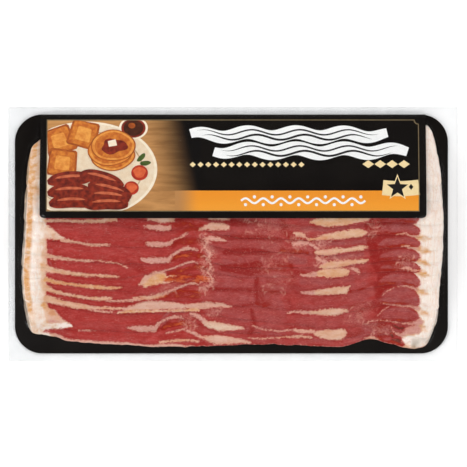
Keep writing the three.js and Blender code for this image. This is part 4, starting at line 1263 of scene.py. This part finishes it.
def diamond(cx, cy, across, up):
    return [(cx - across, cy), (cx, cy - up), (cx + across, cy), (cx, cy + up)]


def star(cx, cy, size):
    points = []
    for n in range(10):
        r = size if n % 2 == 0 else size * 0.42
        a = math.pi / 2 + n * math.pi / 5
        points.append((cx + r * math.cos(a), cy + r * math.sin(a)))
    return points


def keyline(left, right, bottom, top, notch):  # a rectangle with one scooped corner
    arc = [(right + notch * math.cos(a), top + notch * math.sin(a)) for a in np.linspace(1.5, 1, 7) * math.pi]
    return [(left, top), (left, bottom), (right, bottom), *arc]


def ringPatch(tree, name, outer, inner, material, level):
    shape = bmesh.new()
    loops = []
    for outline in (outer, inner):
        verts = [shape.verts.new((x * mm, y * mm, 0)) for x, y in outline]
        loops.extend(shape.edges.new((verts[n - 1], verts[n])) for n in range(len(verts)))
    bmesh.ops.bridge_loops(shape, edges=loops)
    return layInk(shape, tree, name, material, level)


# Film: a clear skin drawn down over everything, sealed flat round the card
film = {
    "pitch": 1.1, "suction": 0.42, "rounds": 300, "clear": 0.1, "sealTop": 0.36, "floor": 0.02,
    "softenings": 6, "wrinkle": 0.16, "creaseReach": 5, "creaseGain": 1.6, "shine": 0.36, "marginShine": 0.1,
    "hazeLeft": 0.28, "hazeRight": 0.0, "hazeTop": 0.16, "hazeBottom": 0.11,
}


def drape(pieces):
    depsgraph = bpy.context.evaluated_depsgraph_get()
    trees = [BVHTree.FromObject(piece, depsgraph) for piece in pieces]
    columns = round(pack["filmWidth"] / film["pitch"])
    rows = round(pack["filmHeight"] / film["pitch"])
    xs = np.linspace(-pack["filmWidth"] / 2, pack["filmWidth"] / 2, columns + 1)
    ys = np.linspace(-pack["filmHeight"] / 2, pack["filmHeight"] / 2, rows + 1)
    below = np.full((rows + 1, columns + 1), film["sealTop"])
    down = Vector((0, 0, -1))
    for tree in trees:
        for r, y in enumerate(ys):
            for c, x in enumerate(xs):
                hit = tree.ray_cast(Vector((x * mm, y * mm, 0.05)), down)[0]
                if hit:
                    below[r, c] = max(below[r, c], hit.z / mm + film["clear"])
    height = below.copy()
    for _ in range(film["rounds"]):
        around = height.copy()
        around[1:-1, 1:-1] = (
            height[:-2, 1:-1] + height[2:, 1:-1] + height[1:-1, :-2] + height[1:-1, 2:]
        ) / 4 - film["suction"]
        height = np.maximum(below, around)
    for _ in range(film["softenings"]):  # soften it where it turns
        height[1:-1, 1:-1] = np.maximum(below[1:-1, 1:-1] - 0.04, (
            4 * height[1:-1, 1:-1] + height[:-2, 1:-1] + height[2:, 1:-1]
            + height[1:-1, :-2] + height[1:-1, 2:]
        ) / 8)
    return columns, rows, xs, ys, height


def sealHaze(x, y):  # how cloudy the seal is round the card, on each of its four sides
    corner = pack["boardCorner"]
    overX = np.abs(x - pack["boardX"]) - pack["boardWidth"] / 2 + corner
    overY = np.abs(y) - pack["boardHeight"] / 2 + corner
    out = np.hypot(np.maximum(overX, 0), np.maximum(overY, 0))
    out = out + np.minimum(np.maximum(overX, overY), 0) - corner
    sides = (
        (film["hazeLeft"], smooth(-x, 110, 136)), (film["hazeRight"], smooth(x, 110, 136)),
        (film["hazeTop"], smooth(y, 50, 75)), (film["hazeBottom"], smooth(-y, 50, 75)),
    )
    weight = sum(w for _, w in sides) + 0.001
    return out, sum(value * w for value, w in sides) / weight


def makeFilm(pieces, material):
    columns, rows, xs, ys, height = drape(pieces)
    shape, across, up = gridSheet(columns, rows)
    c = np.rint(across * columns).astype(int)
    r = np.rint(up * rows).astype(int)
    x, y, z = xs[c], ys[r], height[r, c]
    # soft creases that run outwards over the seal, strongest near the card
    reach = film["creaseReach"]
    overX = np.maximum(np.abs(x) - pack["boardWidth"] / 2 + reach, 0)
    overY = np.maximum(np.abs(y) - pack["boardHeight"] / 2 + reach, 0)
    inSeal = smooth(np.maximum(overX, overY), 0, reach)
    border = np.minimum(pack["filmWidth"] / 2 - np.abs(x), pack["filmHeight"] / 2 - np.abs(y))
    crease = np.where(overY > overX, patchy(x * 0.3, y * 0.06, 3), patchy(x * 0.06, y * 0.3, 9))
    z = z + film["wrinkle"] * inSeal * smooth(border, 0, 3) * np.abs(crease) * film["creaseGain"]
    placeSheet(shape, x, y, z)
    rim = (c == 0) | (c == columns) | (r == 0) | (r == rows)
    addUnderside(shape, x, y, np.where(rim, z, film["floor"]))
    bmesh.ops.remove_doubles(shape, verts=shape.verts, dist=0.01 * mm)
    seal = shape.verts.layers.float_vector.new("seal")
    at = np.array([v.co for v in shape.verts]) / mm
    for v, out, haze in zip(shape.verts, *sealHaze(at[:, 0], at[:, 1])):
        v[seal] = (out, haze, 0)
    return finishPiece(shape, "clear_film", material, ("film_pouch",))


def filmMaterial():
    material, tree, shader = newMaterial("clear film")
    out, cloudy, _ = split(tree, readAttribute(tree, "seal").outputs["Vector"])
    sealed = times(tree, ramp(tree, out, 0.0, 0.45), cloudy)
    streak = noiseField(tree, placeIn(tree, (0.3, 0.3, 1)), 0.22, 2)
    mask = relief(tree, shader, placeIn(tree), 0.35, 0.05)
    fresnel = tree.nodes.new("ShaderNodeFresnel")
    fresnel.inputs["IOR"].default_value = 1.45
    gloss = ramp(tree, out, -1.0, -16.0, (film["marginShine"], film["shine"]))
    shine = times(tree, fresnel.outputs[0], gloss)
    haze = times(tree, sealed, ramp(tree, streak, 0.3, 0.7, (0.85, 1.15)))
    link(tree, larger(tree, shine, haze), shader.inputs["Alpha"])
    link(tree, ramp(tree, sealed, 0.03, 0.0), shader.inputs["Metallic"])
    link(tree, ramp(tree, mask, 0.3, 0.7, (0.1, 0.2)), shader.inputs["Roughness"])
    shader.inputs["Base Color"].default_value = color(238, 240, 242)
    return material


# The pieces
bacon = baconMaterial()
slices = [makeSlice(i, bacon) for i in range(sliceCount)]
print("slices made:", sum(len(s.data.polygons) for s in slices), "faces")
card = makeCard(cardMaterial())
print("card made")
inks = makePrint(card)
print("print laid:", len(inks), "fields")
skin = makeFilm([*slices, card, *inks], filmMaterial())
print("film drawn down:", len(skin.data.polygons), "faces")


# Floor, lights and camera
stageSet = {
    "floorSize": 6.0, "floorZ": -0.0004,
    "cameraHeight": 3.5, "frameWidth": 290.5, "aim": (0.3, 0.3, 10),
    "worldOverhead": 0.055, "worldLow": 0.6,
    "lamps": (
        {"name": "overhead scrim", "at": (0.1, 0.5, 1.7), "size": (1.6, 1.6), "power": 17.8, "gloss": False},
        {"name": "key softbox", "at": (1.0, -0.95, 1.15), "size": (0.6, 0.6), "power": 9.5},
        {"name": "left softbox", "at": (-1.05, -0.6, 0.85), "size": (0.25, 0.8), "power": 7},
        {"name": "back fill", "at": (-0.5, 1.2, 0.8), "size": (1.2, 0.6), "power": 4.4, "gloss": False},
    ),
}


def makeStage():
    floor = bmesh.new()
    bmesh.ops.create_grid(floor, x_segments=2, y_segments=2, size=stageSet["floorSize"] / 2)
    bmesh.ops.translate(floor, vec=(0, 0, stageSet["floorZ"]), verts=floor.verts)
    mesh = bpy.data.meshes.new("floor")
    floor.to_mesh(mesh)
    floor.free()
    material, _, shader = newMaterial("pale floor", specular=0.0)
    shader.inputs["Base Color"].default_value = color(254, 254, 254)
    shader.inputs["Roughness"].default_value = 0.9
    mesh.materials.append(material)
    piece = bpy.data.objects.new("floor", mesh)
    bpy.context.scene.collection.objects.link(piece)

    world = bpy.data.worlds.new("soft studio")
    world.use_nodes = True
    sky = world.node_tree
    aimed = sky.nodes.new("ShaderNodeTexCoord")
    up = split(sky, aimed.outputs["Generated"])[2]
    strength = ramp(sky, up, 0.2, 0.85, (stageSet["worldLow"], stageSet["worldOverhead"]))
    link(sky, strength, sky.nodes["Background"].inputs["Strength"])
    sky.nodes["Background"].inputs["Color"].default_value = (1, 1, 1, 1)
    bpy.context.scene.world = world
    for lamp in stageSet["lamps"]:
        light = bpy.data.lights.new(lamp["name"], "AREA")
        light.shape = "RECTANGLE"
        light.size, light.size_y = lamp["size"]
        light.energy = lamp["power"]
        holder = bpy.data.objects.new(lamp["name"], light)
        holder.location = lamp["at"]
        holder.visible_glossy = lamp.get("gloss", True)
        holder.rotation_euler = (-Vector(lamp["at"])).to_track_quat("-Z", "Y").to_euler()
        bpy.context.scene.collection.objects.link(holder)

    camera = bpy.data.cameras.new("camera")
    camera.sensor_width = 36
    aim = Vector(stageSet["aim"]) * mm
    distance = stageSet["cameraHeight"]
    camera.lens = camera.sensor_width * distance / (stageSet["frameWidth"] * mm)
    camera.clip_end = 20
    eye = bpy.data.objects.new("camera", camera)
    eye.location = aim + Vector((0, 0, distance))
    bpy.context.scene.collection.objects.link(eye)
    bpy.context.scene.camera = eye
    bpy.context.scene.view_settings.view_transform = "Standard"


makeStage()
print("stage set")
